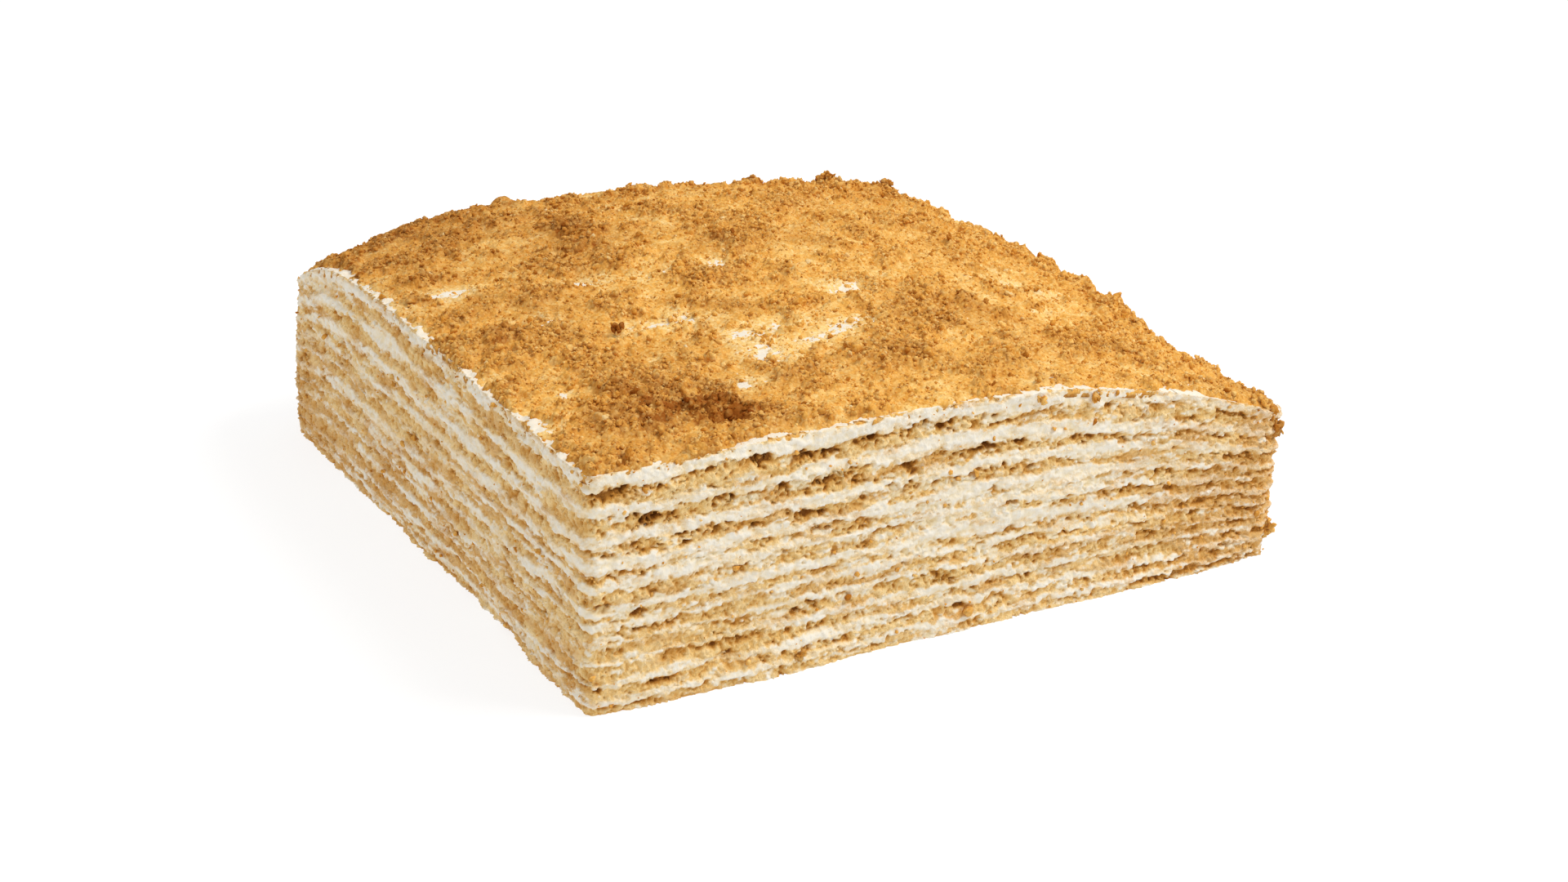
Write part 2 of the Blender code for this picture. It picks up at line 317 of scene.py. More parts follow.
def mesh_object(name, points, skin, closing, material, marks):
    """An object from points in millimetres, groups of faces and a colour mark for each point.

    The skin is what shows, shaded smooth. The closing faces shut the mesh inside and keep out of its shading.
    """
    data = bpy.data.meshes.new(name)
    groups = skin + closing
    corners = np.concatenate([group.ravel() for group in groups]).astype(np.int32)
    sides = np.concatenate([np.full(len(group), group.shape[1]) for group in groups])
    starts = np.concatenate([[0], np.cumsum(sides)[:-1]]).astype(np.int32)
    data.vertices.add(len(points))
    data.vertices.foreach_set("co", (leaned(points) * MM).astype(np.float32).ravel())
    data.loops.add(len(corners))
    data.loops.foreach_set("vertex_index", corners)
    data.polygons.add(len(starts))
    data.polygons.foreach_set("loop_start", starts)
    data.polygons.foreach_set("use_smooth", np.arange(len(starts)) < sum(len(group) for group in skin))
    data.update(calc_edges=True)
    layer = data.attributes.new("marks", "FLOAT_COLOR", "POINT")
    rows = np.column_stack([np.clip(marks, 0, 1), np.ones(len(points))])
    layer.data.foreach_set("color", rows.astype(np.float32).ravel())
    data.materials.append(material)
    data.validate()
    obj = placed(name, data)
    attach(obj, "root")
    return obj


def stitch(outer, outer_places, inner, inner_places, facing_up):
    """Triangles between two rings of point numbers. The places are each point's share of the way round."""
    outer_keys = (outer_places + np.append(outer_places[1:], 1)) / 2
    inner_keys = (inner_places + np.append(inner_places[1:], 1)) / 2
    facing_outer = np.searchsorted(inner_keys, outer_keys) % len(inner)
    facing_inner = np.searchsorted(outer_keys, inner_keys, side="right") % len(outer)
    after_inner = np.roll(inner, -1)
    faces = np.concatenate(
        [
            np.stack([inner[facing_outer], outer, np.roll(outer, -1)], 1),
            np.stack([inner, outer[facing_inner], after_inner], 1),
        ]
    )
    return faces if facing_up else faces[:, ::-1]


def close_inside(edge, edge_places, rings, first_number, height_at, facing_up):
    """(new points, faces) that fill a surface from the point numbers of its edge to its middle."""
    points = []
    faces = []
    outer, outer_places = edge, edge_places
    number = first_number
    for share, count in rings:
        ring, _, places = outline(count)
        points.append(np.column_stack([ring * share, height_at(*(ring * share).T)]))
        inner = number + np.arange(count)
        faces.append(stitch(outer, outer_places, inner, places, facing_up))
        outer, outer_places = inner, places
        number += count
    middle = np.zeros(1)
    points.append(np.column_stack([middle, middle, height_at(middle, middle)]))
    fan = np.stack([np.full(len(outer), number), outer, np.roll(outer, -1)], 1)
    faces.append(fan if facing_up else fan[:, ::-1])
    return np.concatenate(points), faces


def grid_faces(rows, columns, around=False):
    """Quads of a grid of rows, each of columns points. around joins the end of each row to its start."""
    row = np.arange(rows - 1)[:, None] * columns
    column = np.arange(columns if around else columns - 1)[None, :]
    after = (column + 1) % columns
    quads = [row + column, row + after, row + columns + after, row + columns + column]
    return np.stack([quad.ravel() for quad in quads], 1)


def band_faces(lower, upper):
    """Quads between two rings of point numbers, one above the other."""
    return np.stack([lower, np.roll(lower, -1), np.roll(upper, -1), upper], 1)


# The torn walls, in millimetres

EDGE, OUTWARD, EDGE_PLACES = outline(WALL_COLUMNS, OUTSIDE_SPACING)
ON_FRONT = smooth(0.3, 0.8, -OUTWARD[:, 1])
ON_LEFT = smooth(0.3, 0.8, -OUTWARD[:, 0])
ON_OUTSIDE = 1 - np.maximum(ON_FRONT, ON_LEFT)
FROM_LEFT = EDGE[:, 0] + HALF_LENGTH
FROM_FRONT = EDGE[:, 1] + HALF_WIDTH
LEVELS_AT_WALL = [level_height(level, *EDGE.T) for level in range(len(LEVELS))]

# Soft patches on the two cut faces, where the knife or the spreading changed what shows. In millimetres:
# (middle from the near corner, middle height, half length, half height, strength)
CREAM_DRAGS = {
    "front": (
        (92, 28, 18, 7, 0.8), (66, 24, 12, 5, 0.4), (116, 33, 14, 5, 0.8), (30, 32, 14, 3, 0.5), (8, 37, 7, 3, 0.5),
        (5, 20, 6, 7, 0.5), (80, 47, 10, 4, 0.5), (50, 43, 3, 4, 0.6), (106, 40, 16, 3, 0.4), (66, 13, 10, 4, 0.4),
    ),
    "left": (
        (160, 48, 24, 9, 1.7), (120, 22, 20, 6, 0.4), (112, 44, 14, 4, 0.6), (66, 40, 14, 5, 0.6),
        (22, 30, 12, 6, 0.6), (80, 16, 12, 4, 0.4),
    ),
}
CRUMB_DRAGS = {
    "front": (
        (26, 12, 22, 4, 0.9), (40, 20, 18, 4, 0.5), (64, 48, 6, 6, 0.5), (150, 14, 30, 10, 0.5),
        (178, 26, 12, 30, 0.9), (156, 30, 16, 20, 0.3),
    ),
    "left": (
        (95, 31, 55, 4, 1.0), (165, 12, 30, 9, 0.8), (60, 12, 50, 8, 0.4),
    ),
}
# Here the strength is how far the wall stands out, as the foot does where the slab sags, or in
BULGES = {
    "front": (
        (16, 0, 10, 7, 1.0), (48, 0, 18, 7, 2.0), (90, 0, 22, 6, 0.9), (128, 0, 18, 6, 1.3), (158, 0, 16, 6, 1.5),
    ),
    "left": (
        (40, 0, 18, 7, -1.2), (66, 0, 20, 7, -2.0), (104, 0, 16, 7, -1.0), (176, 50, 9, 12, -0.9),
    ),
}
PITS = {
    "front": (
        (5, 50.4, 2.6, 1.3, 1.6), (8, 51.4, 1.6, 0.9, 1.2), (17.6, 50.2, 1.0, 0.9, 1.5), (41, 51.0, 1.6, 0.8, 1.2),
        (50.5, 50.8, 2.6, 1.0, 1.5), (57.5, 50.0, 1.8, 1.0, 1.4), (68, 51.0, 2.0, 0.8, 0.9),
        (15, 43.0, 2.2, 1.1, 1.4), (20, 43.4, 1.4, 0.8, 1.1), (37, 43.8, 2.2, 0.8, 1.3), (51.3, 43.2, 1.5, 0.8, 1.5),
        (55.7, 43.4, 0.8, 0.9, 1.6), (63.6, 42.6, 1.0, 0.8, 1.4), (78, 43.4, 1.6, 0.6, 0.9),
        (5, 36.2, 1.6, 0.8, 1.0), (22.5, 37.0, 1.2, 0.7, 1.2), (16.5, 36.4, 1.2, 0.7, 1.2),
        (39.5, 36.6, 1.0, 0.8, 1.6), (55.5, 36.2, 0.8, 0.6, 1.2), (27, 31.2, 1.4, 0.6, 1.0),
        (38.5, 31.3, 2.4, 0.5, 0.9), (4, 24.6, 2.2, 0.9, 1.5), (26.6, 25.6, 0.8, 0.6, 1.4), (7, 20.8, 1.6, 0.5, 1.0),
        (13.6, 18.6, 0.9, 0.6, 1.2), (25, 15.6, 1.2, 0.4, 1.2), (3, 6.0, 1.6, 0.7, 1.4), (17, 5.2, 3.0, 0.7, 1.0),
        (33, 7.0, 3.2, 0.8, 1.2), (54, 9.2, 3.0, 0.8, 0.8), (103, 48.6, 4.0, 0.5, 1.1), (94, 43.2, 3.5, 0.6, 1.0),
        (100, 41.6, 1.6, 0.8, 1.0), (123, 39.4, 1.2, 0.7, 1.2), (151, 39.6, 1.8, 0.7, 1.2),
        (136, 38.4, 3.0, 0.5, 1.0), (158, 18.0, 3.5, 0.5, 1.6), (137, 20.6, 2.4, 0.6, 1.2),
        (93, 36.6, 3.0, 0.4, 1.0),
    ),
}

# Marks of the top of the uppermost cream, where some crumb is rubbed into it
TOP_MARK = (0.85, 0.0, 0.5)
# A patch is worked out as far from its middle as this many times its half length and half height
PATCH_REACH = 2.5


def places_sum(places, columns, height, ragged=0.0):
    """Sum of soft patches on the cut faces. ragged moves their outlines along the face, in millimetres."""
    sides = {"front": (FROM_LEFT, ON_FRONT), "left": (FROM_FRONT, ON_LEFT)}
    total = np.zeros(len(columns))
    for side, patches in places.items():
        from_corner, facing = (values[columns] for values in sides[side])
        along = from_corner + ragged
        for middle, middle_height, half_length, half_height, strength in patches:
            near = np.flatnonzero(
                (np.abs(along - middle) < PATCH_REACH * half_length)
                & (np.abs(height - middle_height) < PATCH_REACH * half_height)
                & (facing > 0)
            )
            across = (along[near] - middle) / half_length
            up = (height[near] - middle_height) / half_height
            total[near] += facing[near] * strength * np.exp(-(across**2) - up**2)
    return total


def layer_rows(level):
    """(points of the clean cut, their columns) of the rows of one layer's wall."""
    low, high = LEVELS_AT_WALL[level], LEVELS_AT_WALL[level + 1]
    rows = max(4, round(THICKNESSES[level] / ROW_HEIGHT) + 1)
    shares = np.linspace(0, 1, rows)
    height = low[None, :] + (high - low)[None, :] * shares[:, None]
    points = np.column_stack([np.tile(EDGE, (rows, 1)), height.ravel()])
    return points, np.tile(np.arange(WALL_COLUMNS), rows)


def torn_wall(points, columns, level):
    """(how far each point stands out, marks) for one layer's rows. Neighbours meet in the same shape and colour.

    The marks are how much is cream, how far in the point lies, which the material paints as light and shade, and how
    browned the biscuit is.
    """
    height = points[:, 2]
    left, outside = ON_LEFT[columns], ON_OUTSIDE[columns]
    from_left, from_front = FROM_LEFT[columns], FROM_FRONT[columns]
    is_biscuit = level % 2 == 0
    mottle = rough(points, (1.1, 1.1, 0.8), 305, 2)

    # The line between sheet and cream is torn. On the left face it feathers along the slanting stroke of the knife.
    slanted = points - np.outer(0.5 * points[:, 1], (0, 0, 1))
    feather = left * rough(slanted, (7, 7, 1.5), 401)
    tear = 0.42 * noise(points, (5, 5, 2.8), 301) + 0.4 * rough(points, (2.0, 2.0, 1.2), 303) + 0.5 * feather
    to_low = height + tear - LEVELS_AT_WALL[level][columns]
    to_high = LEVELS_AT_WALL[level + 1][columns] - height - tear
    sheet, under_cream = level // 2, to_high
    if not is_biscuit:
        upper = to_high < to_low
        next_sheet = LEVELS_AT_WALL[min(level + 2, TOP_LEVEL)][columns] - LEVELS_AT_WALL[level + 1][columns]
        under_cream = np.where(upper, to_high + next_sheet, -to_low)
        sheet = np.where(upper, sheet + 1, sheet)

    # How much cream covers each point: its own layers, and what was dragged over the sheets
    cream_drag = places_sum(CREAM_DRAGS, columns, height)
    broad = left * rough(points, (20, 20, 9), 395)
    crumb_drag = places_sum(CRUMB_DRAGS, columns, height) + (0.3 + 0.4 * broad) * left + 0.35 * outside
    streaks = rough(points, (9, 9, 1.6), 311) * (1 - left) + 1.4 * left * rough(points, (22, 22, 1.5), 391)
    blots = rough(points, (3.2, 3.2, 1.6), 315) * (1 - 0.5 * left)
    spread = 0.9 * cream_drag + 0.45 * streaks + 0.5 * blots + 0.3 * feather - 0.5 * crumb_drag
    shift = 0.15 - 0.3 * smooth(0.1, 1.1, spread) - 0.3 * cream_drag + 0.3 * crumb_drag
    inside = np.minimum(to_low if level else FAR, to_high) + (shift if is_biscuit else -shift)
    inside = inside if is_biscuit else -inside
    biscuit = smooth(-0.4, 0.4, inside + 0.3 * mottle)
    film = smooth(0.15, 1.1, spread + 0.3 * mottle)
    at_right_end = smooth(120, 172, from_left) * (1 - left)
    stained = 0.3 + 0.6 * crumb_drag + 0.4 * rough(points, (7, 7, 1.6), 323) + 0.3 * blots
    stained += 0.35 * at_right_end - 0.25 * left * streaks
    stain = smooth(-0.1, 1.0, stained + 0.3 * mottle) * smooth(-2.2, -0.2, inside)
    cream = (1 - biscuit) * (1 - 0.7 * stain) + biscuit * film

    # The baked crumb: holes cut open, gaps under the cream, and grains that stand out
    bend = [noise(points, 1.3, 331), noise(points, 1.3, 332), noise(points, 1.1, 333)]
    bent = points + 0.5 * np.column_stack(bend)
    flat = bent * (0.7, 0.7, 1.0)
    # The upper sheets near the front corner are baked the most open
    open_baked = (1 - left) * smooth(22, 42, height) * smooth(150, 80, from_left) * (1 - outside)
    crumbly = smooth(-0.8, 0.6, rough(points, (11, 11, 4), 335) + 0.3 - 0.3 * crumb_drag) * (1 - 0.35 * left)
    crumbly += 0.4 * open_baked
    ledge = smooth(2.2, 0.5, under_cream)
    wide = bubbles(flat, 2.6, (0.5, 1.3), 0.65, 341) * (0.4 + 0.6 * ledge) * crumbly
    middling = bubbles(bent, 1.5, (0.3, 0.75), 0.8, 346) * (0.4 + 0.6 * crumbly)
    pits = places_sum(PITS, columns, height + 0.5 * blots, 0.8 * mottle)
    # The gaps come and go along each sheet on its own
    along = np.column_stack([points[:, :2], np.zeros(len(points)) + 70.0 * sheet])
    gate = smooth(0.1, 0.7, noise(along, 5, 357) + 0.6 * noise(points, 1.4, 358) + 0.6 * at_right_end)
    groove = gate * smooth(0.7, 0.2, np.abs(under_cream - 0.4 + 0.2 * mottle))
    open_crumb = bubbles(bent, 2.1, (0.4, 1.1), 0.95, 367)
    hollow = 1.3 * np.maximum(wide, 0.85 * middling) + (0.45 + 0.35 * at_right_end) * groove
    hollow += 0.9 * pits + (2.3 * pits + (0.3 + 1.2 * ledge) * open_baked) * open_crumb
    grains = bubbles(bent + 3.0, 1.15, (0.25, 0.57), 0.95, 351)
    grit = 0.2 * rough(points, 0.8, 361, 2)
    biscuit_out = -0.08 + 0.75 * grains + grit + 0.25 * rough(points, 2.6, 363) - 0.85 * hollow * (1 - 0.6 * film)

    # The cream: soft waves, a few dents, and crumb stirred into it. It is rougher under the left rim.
    dents = bubbles(bent, 2.4, (0.3, 0.8), 0.25, 371)
    whipped = 0.16 * rough(points, (4, 4, 1.4), 375) + 0.16 * rough(points, 1.4, 377)
    whipped += 0.35 * left * smooth(-6, -1, height - LEVELS_AT_WALL[TOP_LEVEL][columns]) * rough(points, 2.2, 397, 2)
    cream_out = 0.16 + whipped + (0.3 + 0.7 * stain) * (grit + 0.5 * grains) - 0.7 * dents - 0.6 * pits
    stands = biscuit * biscuit_out + (1 - biscuit) * cream_out
    # How far in the point lies. The material paints it as shade, darker and browner deeper in, and paler where the
    # wall stands out.
    depth_shade = smooth(0.5, -1.3, stands)

    # The whole wall bulges, most of all at the foot and round the right corner
    stands = np.clip(stands, -DEEPEST_HOLE, 1.2) + places_sum(BULGES, columns, height, 3 * tear)
    right_front = outside * smooth(30, 8, from_front) * smooth(0, 5, from_left)
    stands += 1.7 * right_front * smooth(2, 10, height) * smooth(44, 34, height)
    stands += 0.3 * noise(points, (15, 15, 7), 379) + outside * (0.55 * noise(points, (6, 6, 2.6), 381) - 0.3)

    # The oven browned the sheets more towards the right end and low on the left face
    low_left = left * smooth(34, 6, height) * smooth(20, 120, from_front)
    browned = 0.5 + 0.3 * rough(points, (9, 9, 2.5), 385) + 0.1 * outside + 0.15 * left + 0.4 * low_left
    browned += at_right_end * (0.36 + 0.4 * smooth(36, 20, height))
    return stands, np.column_stack([cream, depth_shade, browned])


@cache
def all_walls():
    """(points, marks) of each layer's wall, as (rows, columns, 3). They are worked out once for all the layers."""
    walls = []
    for level in range(TOP_LEVEL):
        points, columns = layer_rows(level)
        stands, marks = torn_wall(points, columns, level)
        points[:, :2] += OUTWARD[columns] * stands[:, None]
        walls.append((points.reshape(-1, WALL_COLUMNS, 3), marks.reshape(-1, WALL_COLUMNS, 3)))
    return walls


def wall_normals(walls, level):
    """Normals of one layer's wall that run on into the layers above and below, so that no seam shows."""
    rows = [walls[level][0]]
    if level > 0:
        rows.insert(0, walls[level - 1][0][-2:-1])
    if level + 1 < TOP_LEVEL:
        rows.append(walls[level + 1][0][1:2])
    grid = leaned(np.concatenate(rows).reshape(-1, 3)).reshape(-1, WALL_COLUMNS, 3)
    along = np.roll(grid, -1, axis=1) - np.roll(grid, 1, axis=1)
    normals = np.cross(along, np.gradient(grid, axis=0))
    first = 1 if level > 0 else 0
    normals = normals[first : first + len(walls[level][0])].reshape(-1, 3)
    return normals / np.linalg.norm(normals, axis=1, keepdims=True)


def build_layer(name, walls, level, material):
    """One layer: its torn wall all round, closed inside above and below."""
    wall, marks = (grid.reshape(-1, 3) for grid in walls[level])
    rows = len(wall) // WALL_COLUMNS
    skin = [grid_faces(rows, WALL_COLUMNS, True)]
    ring = np.arange(WALL_COLUMNS)
    below, above = partial(level_height, level), partial(level_height, level + 1)
    more, closing = close_inside(ring, EDGE_PLACES, CLOSING_RINGS, len(wall), below, False)
    points = np.vstack([wall, more])
    last_row = (rows - 1) * WALL_COLUMNS + ring
    inner_mark = marks.mean(axis=0)
    if level + 1 == TOP_LEVEL:
        more, faces = cream_top(last_row, len(points), points[last_row])
        skin += faces
        inner_mark = TOP_MARK
    else:
        more, faces = close_inside(last_row, EDGE_PLACES, CLOSING_RINGS, len(points), above, True)
        closing += faces
    points = np.vstack([points, more])
    marks = np.vstack([marks, np.tile(inner_mark, (len(points) - len(marks), 1))])
    obj = mesh_object(name, points, skin, closing, material, marks)
    normals = np.zeros((len(points), 3))
    kept = last_row[0] if level + 1 == TOP_LEVEL else len(wall)
    normals[:kept] = wall_normals(walls, level)[:kept]
    obj.data.normals_split_custom_set_from_vertices(normals)
    return obj


# Cream and crumbs on top

# The cream has fine rings from its rim to this share of the way out from the middle, and a grid inside them
RIM_SHARE = 0.93
RIM_STEPS = (0.05, 0.11, 0.18, 0.26, 0.36, 0.47, 0.6, 0.75)
TOP_RING, TOP_ACROSS = 800, 201


def flat_points(x, y):
    """Points at height 0."""
    return np.column_stack([x, y, np.zeros_like(x)])


def coons(ring, across):
    """Grid of points that fills a ring of points, as (rows, columns, 2). across is the number of steps along X."""
    along = len(ring) // 2 - across
    closed = np.vstack([ring, ring[:1]])
    front = closed[: across + 1]
    right = closed[across : across + along + 1]
    back = closed[across + along : 2 * across + along + 1][::-1]
    left = closed[2 * across + along :][::-1]
    u = np.linspace(0, 1, across + 1)[None, :, None]
    v = np.linspace(0, 1, along + 1)[:, None, None]
    ruled = (1 - v) * front[None] + v * back[None] + (1 - u) * left[:, None] + u * right[:, None]
    corners = (1 - u) * (1 - v) * front[0] + u * (1 - v) * front[-1] + (1 - u) * v * back[0] + u * v * back[-1]
    return ruled - corners


def grid_edge(rows, columns):
    """Point numbers round a grid, anticlockwise from its first point."""
    numbers = np.arange(rows * columns).reshape(rows, columns)
    return np.concatenate([numbers[0, :-1], numbers[:-1, -1], numbers[-1, :0:-1], numbers[:0:-1, 0]])


def cream_surface(x, y):
    """Height of the spread cream on top, with the marks of the palette knife."""
    spots = flat_points(x, y)
    swept = rough(spots, (14, 5, 1), 201)
    lumps = rough(spots, 2.2, 205)
    dragged = smooth(5, 2, x + HALF_LENGTH) * rough(spots, (1.6, 1.3, 1), 208, 2)
    return level_height(TOP_LEVEL, x, y) + 0.3 * swept + 0.16 * lumps + 0.25 * dragged


def cream_top(edge_numbers, first_number, edge_points):
    """(new points, faces) of the uppermost cream's own top, fine at the rim where it shows."""
    points = []
    faces = []
    inner = EDGE * RIM_SHARE
    outer_numbers = edge_numbers
    number = first_number
    for share in RIM_STEPS:
        spots = edge_points[:, :2] * (1 - share) + inner * share
        # The rim starts at the height of the cut and soon takes up the marks of the palette knife
        marked = smooth(0.0, 0.16, share)
        height = cream_surface(*spots.T) * marked + edge_points[:, 2] * (1 - marked)
        points.append(np.column_stack([spots, height]))
        numbers = number + np.arange(WALL_COLUMNS)
        faces.append(band_faces(outer_numbers, numbers))
        outer_numbers = numbers
        number += WALL_COLUMNS
    ring, _, places = outline(TOP_RING)
    grid = coons(ring * RIM_SHARE, TOP_ACROSS)
    rows, columns = grid.shape[:2]
    flat = grid.reshape(-1, 2)
    points.append(np.column_stack([flat, cream_surface(*flat.T)]))
    faces.append(stitch(outer_numbers, EDGE_PLACES, number + grid_edge(rows, columns), places, True))
    faces.append(number + grid_faces(rows, columns))
    return np.concatenate(points), faces


# Places on top in millimetres from the near corner, as (along X, along Y, radius, strength): where the cream is bare,
# where the crumbs lie thin, and where they lie in clumps
BARE_PATCHES = (
    (67, 53, 2.8, 1.0), (76, 55, 2.2, 1.0), (89, 49, 2.8, 1.0), (95, 50, 1.8, 0.9), (78, 45, 1.7, 0.9),
    (66, 43, 2.8, 0.9), (63, 38, 2.0, 0.8), (52, 29, 2.3, 1.0), (104, 73, 2.8, 1.0), (81, 98, 2.6, 1.0),
    (67, 98, 2.2, 0.9), (47, 101, 2.4, 0.9), (15, 108, 3.4, 1.0), (56, 68, 2.4, 0.9), (48, 70, 2.0, 0.9),
    (27, 80, 2.2, 0.9), (116, 6, 1.8, 0.8), (152, 6, 2.6, 0.9), (160, 7, 2.2, 0.9), (156, 75, 3.2, 0.9),
    (14, 40, 1.2, 0.6),
)
THIN_PATCHES = (
    (72, 50, 20, 0.55), (94, 40, 9, 0.5), (5, 28, 9, 0.6), (52, 70, 10, 0.5), (110, 90, 16, 0.35),
    (150, 70, 22, 0.35), (20, 106, 9, 0.4), (60, 8, 14, 0.3), (150, 100, 20, 0.3), (90, 176, 11, 1.0),
    (177, 144, 8, 1.0), (6, 170, 9, 1.0),
)
CLUMPS = (
    (30, 24, 14, 0.55), (40, 17, 6, 1.0), (45, 12, 3.5, 0.6), (24, 36, 5, 1.0), (14, 27, 5, 0.5), (16, 75, 6, 1.3),
    (10, 121, 6, 0.5), (17, 130, 5, 0.5), (62, 141, 7, 0.9), (59, 127, 6, 0.5), (90, 115, 4, 0.8), (95, 88, 4, 0.7),
    (104, 146, 6, 0.6), (118, 105, 6, 0.5), (131, 113, 6, 0.4), (77, 90, 4, 0.5), (128, 59, 4, 0.6),
    (96, 28, 6, 0.5), (110, 20, 6, 0.5), (116, 16, 4, 0.6), (149, 28, 6, 0.5), (72, 71, 5, 0.5), (92, 66, 6, 0.4),
    (61, 27, 6, 0.4), (39, 110, 6, 0.4), (56, 108, 5, 0.4), (27, 98, 6, 0.4), (146, 176, 7, 1.5), (157, 177, 8, 1.6),
    (166, 174, 6, 1.7), (174, 170, 7, 1.8), (180, 99, 5, 0.9), (180, 83, 7, 1.4), (180, 69, 7, 1.9),
    (180, 34, 7, 0.4), (180, 47, 5, 0.7), (180, 57, 5, 1.1), (180, 108, 6, 0.5), (134, 178, 3, 0.8),
    (172, 6, 5, 0.3), (178, 162, 6, 0.9), (112, 178, 6, 0.4), (125, 178, 6, 0.5), (140, 178, 5, 0.5),
    (28, 175, 6, 0.5), (36, 176, 7, 0.6), (50, 177, 7, 0.9), (61, 177, 6, 0.9),
)
# The darkest hollow, painted dark as its shadow, and the toasted patch that it is in
CRATER = (41, 12.5, 2.4, 1.0)
TOASTED = (31, 23, 17, 1.0)

# Steps of the bed of crumbs along X and points round it, how far out it reaches, how deep it dips under bare cream,
# and the depth of its flat underside with the rings that close it
BED_ACROSS, BED_RING = 310, 1236
BED_SHARE = 0.997
BED_BURIED = 0.25
BED_DEPTH = 2
BED_RINGS = ((0.8, 225), (0.4, 45))


def spots_sum(x, y, places, long_way=1.0, widened=1.0):
    """Sum of soft spots, each (along X, along Y, radius, strength) and stretched along X."""
    total = np.zeros_like(x)
    for from_left, from_front, radius, strength in places:
        away = ((x + HALF_LENGTH - from_left) / long_way) ** 2 + (y + HALF_WIDTH - from_front) ** 2
        total += strength * np.exp(-away / (0.8 * widened * radius) ** 2)
    return total


def crumb_cover(x, y):
    """(how thick the crumbs lie, how much they clump, how dark they are, how much cream shines through).

    They give out where they are thinner than 0.
    """
    flat = flat_points(x, y)
    bent_x = x + 1.6 * rough(flat, 3.0, 220)
    bent_y = y + 1.2 * rough(flat, 3.0, 223)
    named = spots_sum(bent_x, bent_y, CLUMPS)
    bare = spots_sum(bent_x, bent_y, BARE_PATCHES, 1.6, 1.1)
    bare_around = spots_sum(bent_x, bent_y, BARE_PATCHES, 1.5, 2.2)
    thin = spots_sum(bent_x, bent_y, THIN_PATCHES)

    # Masses of crumbs with thin places between them, in no line with the sides of the slab
    turned = flat_points(0.87 * x + 0.5 * y, 0.87 * y - 0.5 * x)
    masses = smooth(-0.25, 0.75, rough(turned, (9, 8, 1), 244) + 0.4 * rough(flat, 2.4, 247) - 0.6 * thin)
    clump = masses + np.minimum(named, 2.2)
    thickness = 0.33 + 0.2 * rough(flat, 2.0, 249, 2) + 0.9 * masses + 1.7 * np.minimum(named, 2.3) - 0.15 * thin
    crater = spots_sum(x, y, [CRATER], 1.8)
    thickness = np.maximum(thickness - 2.1 * crater, 0.06) * (1 - 0.8 * np.minimum(bare_around, 1))
    opened = smooth(0.25, 0.8, bare * (1 + 0.6 * rough(flat, 1.7, 264) + 0.9 * noise(flat, 0.9, 267)))
    thickness = thickness * (1 - opened) - 0.4 * opened

    # Cream shines through round the bare patches and near the left rim
    from_left = x + HALF_LENGTH
    haze = thin + 0.5 * smooth(10, 0, from_left) + 1.6 * bare_around + 0.5 * rough(flat, 5, 261)
    hazy = smooth(0.0, 1.3, haze + 0.25 - 1.3 * clump) + 0.4 * np.minimum(bare_around, 1)

    # The crumbs end in a ragged line short of the two cut edges
    front_gap = 0.2 + smooth(45, 80, from_left)
    front_gap += 0.7 * rough(flat, (11, 11, 1), 250) + rough(flat, 2.2, 253, 2)
    left_gap = 1.6 + 0.9 * rough(flat, (12, 12, 1), 255) + 1.3 * rough(flat, (3.2, 1.7, 1), 258, 2)
    left_gap += 1.5 * smooth(30, 60, y)
    at_corner = smooth(16, 4, from_left) * smooth(16, 4, y + HALF_WIDTH)
    from_cut = np.minimum(y + HALF_WIDTH - front_gap, from_left - left_gap * (1 - 0.7 * at_corner))
    thickness = np.where(thickness > 0, thickness * smooth(-0.8, 2.0, from_cut), thickness)
    thickness -= smooth(0.4, -1.4, from_cut)

    # Clumps, the far left and the toasted patch are darker, and the crater is painted dark as its shadow
    far_left = smooth(40, 130, y - x)
    toasted = spots_sum(x, y, [TOASTED])
    at_far_rim = np.maximum(smooth(155, 170, y + HALF_WIDTH), smooth(160, 175, from_left))
    dark = (0.08 + 0.12 * far_left) * masses + 0.1 * rough(flat, 20, 280)
    dark += 0.38 * np.minimum(named, 1.2) * (1 - 0.75 * at_far_rim)
    dark += 0.03 + 0.16 * far_left
    dark += toasted * (0.34 + 0.34 * rough(flat, 4, 283)) - 0.15 * thin + 1.2 * crater
    return thickness, clump + 0.5 * toasted, dark, hazy


def bed(x, y):
    """(height, marks) of the bed of crumbs on the cream. Where the bed gives out it dips under the cream."""
    flat = flat_points(x, y)
    warped = flat + 0.5 * flat_points(rough(flat, 1.6, 230), rough(flat, 1.6, 236))
    thickness, clump, dark, hazy = crumb_cover(x, y)
    cover = smooth(-0.1, 0.8, thickness)
    clumped = smooth(0.1, 1.1, clump)
    fine, fine_tone = heap(warped, 1.4, (0.5, 1.0), 0.3, 1.0, 260)
    middling, middling_tone = heap(warped, 2.5, (0.8, 1.6), 0.5, 0.7, 265)
    coarse, coarse_tone = heap(warped, 3.7, (1.0, 2.0), 0.5, 0.75, 270)
    fine = np.maximum(fine, 0) - 0.1
    middling = middling - 0.4 - 1.1 * (1 - clumped)
    coarse = coarse - 0.6 - 2.0 * (1 - clumped)
    height = np.maximum(np.maximum(fine, middling), coarse)
    tone = np.where(coarse >= height, coarse_tone, np.where(middling >= height, middling_tone, fine_tone))
    grit = 0.2 * rough(flat, 1.2, 275, 2)
    # Low places between the crumbs, most in the clumps, are marked to be painted as shade
    low = smooth(0.8, 0.1, height + grit) * (0.15 + 0.85 * clumped)
    stands = np.maximum(thickness + cover * (0.8 * height + grit), -BED_BURIED)
    return cream_surface(x, y) + stands, np.column_stack([0.34 + 0.12 * tone + 0.3 * hazy, low * (1 - hazy), dark])


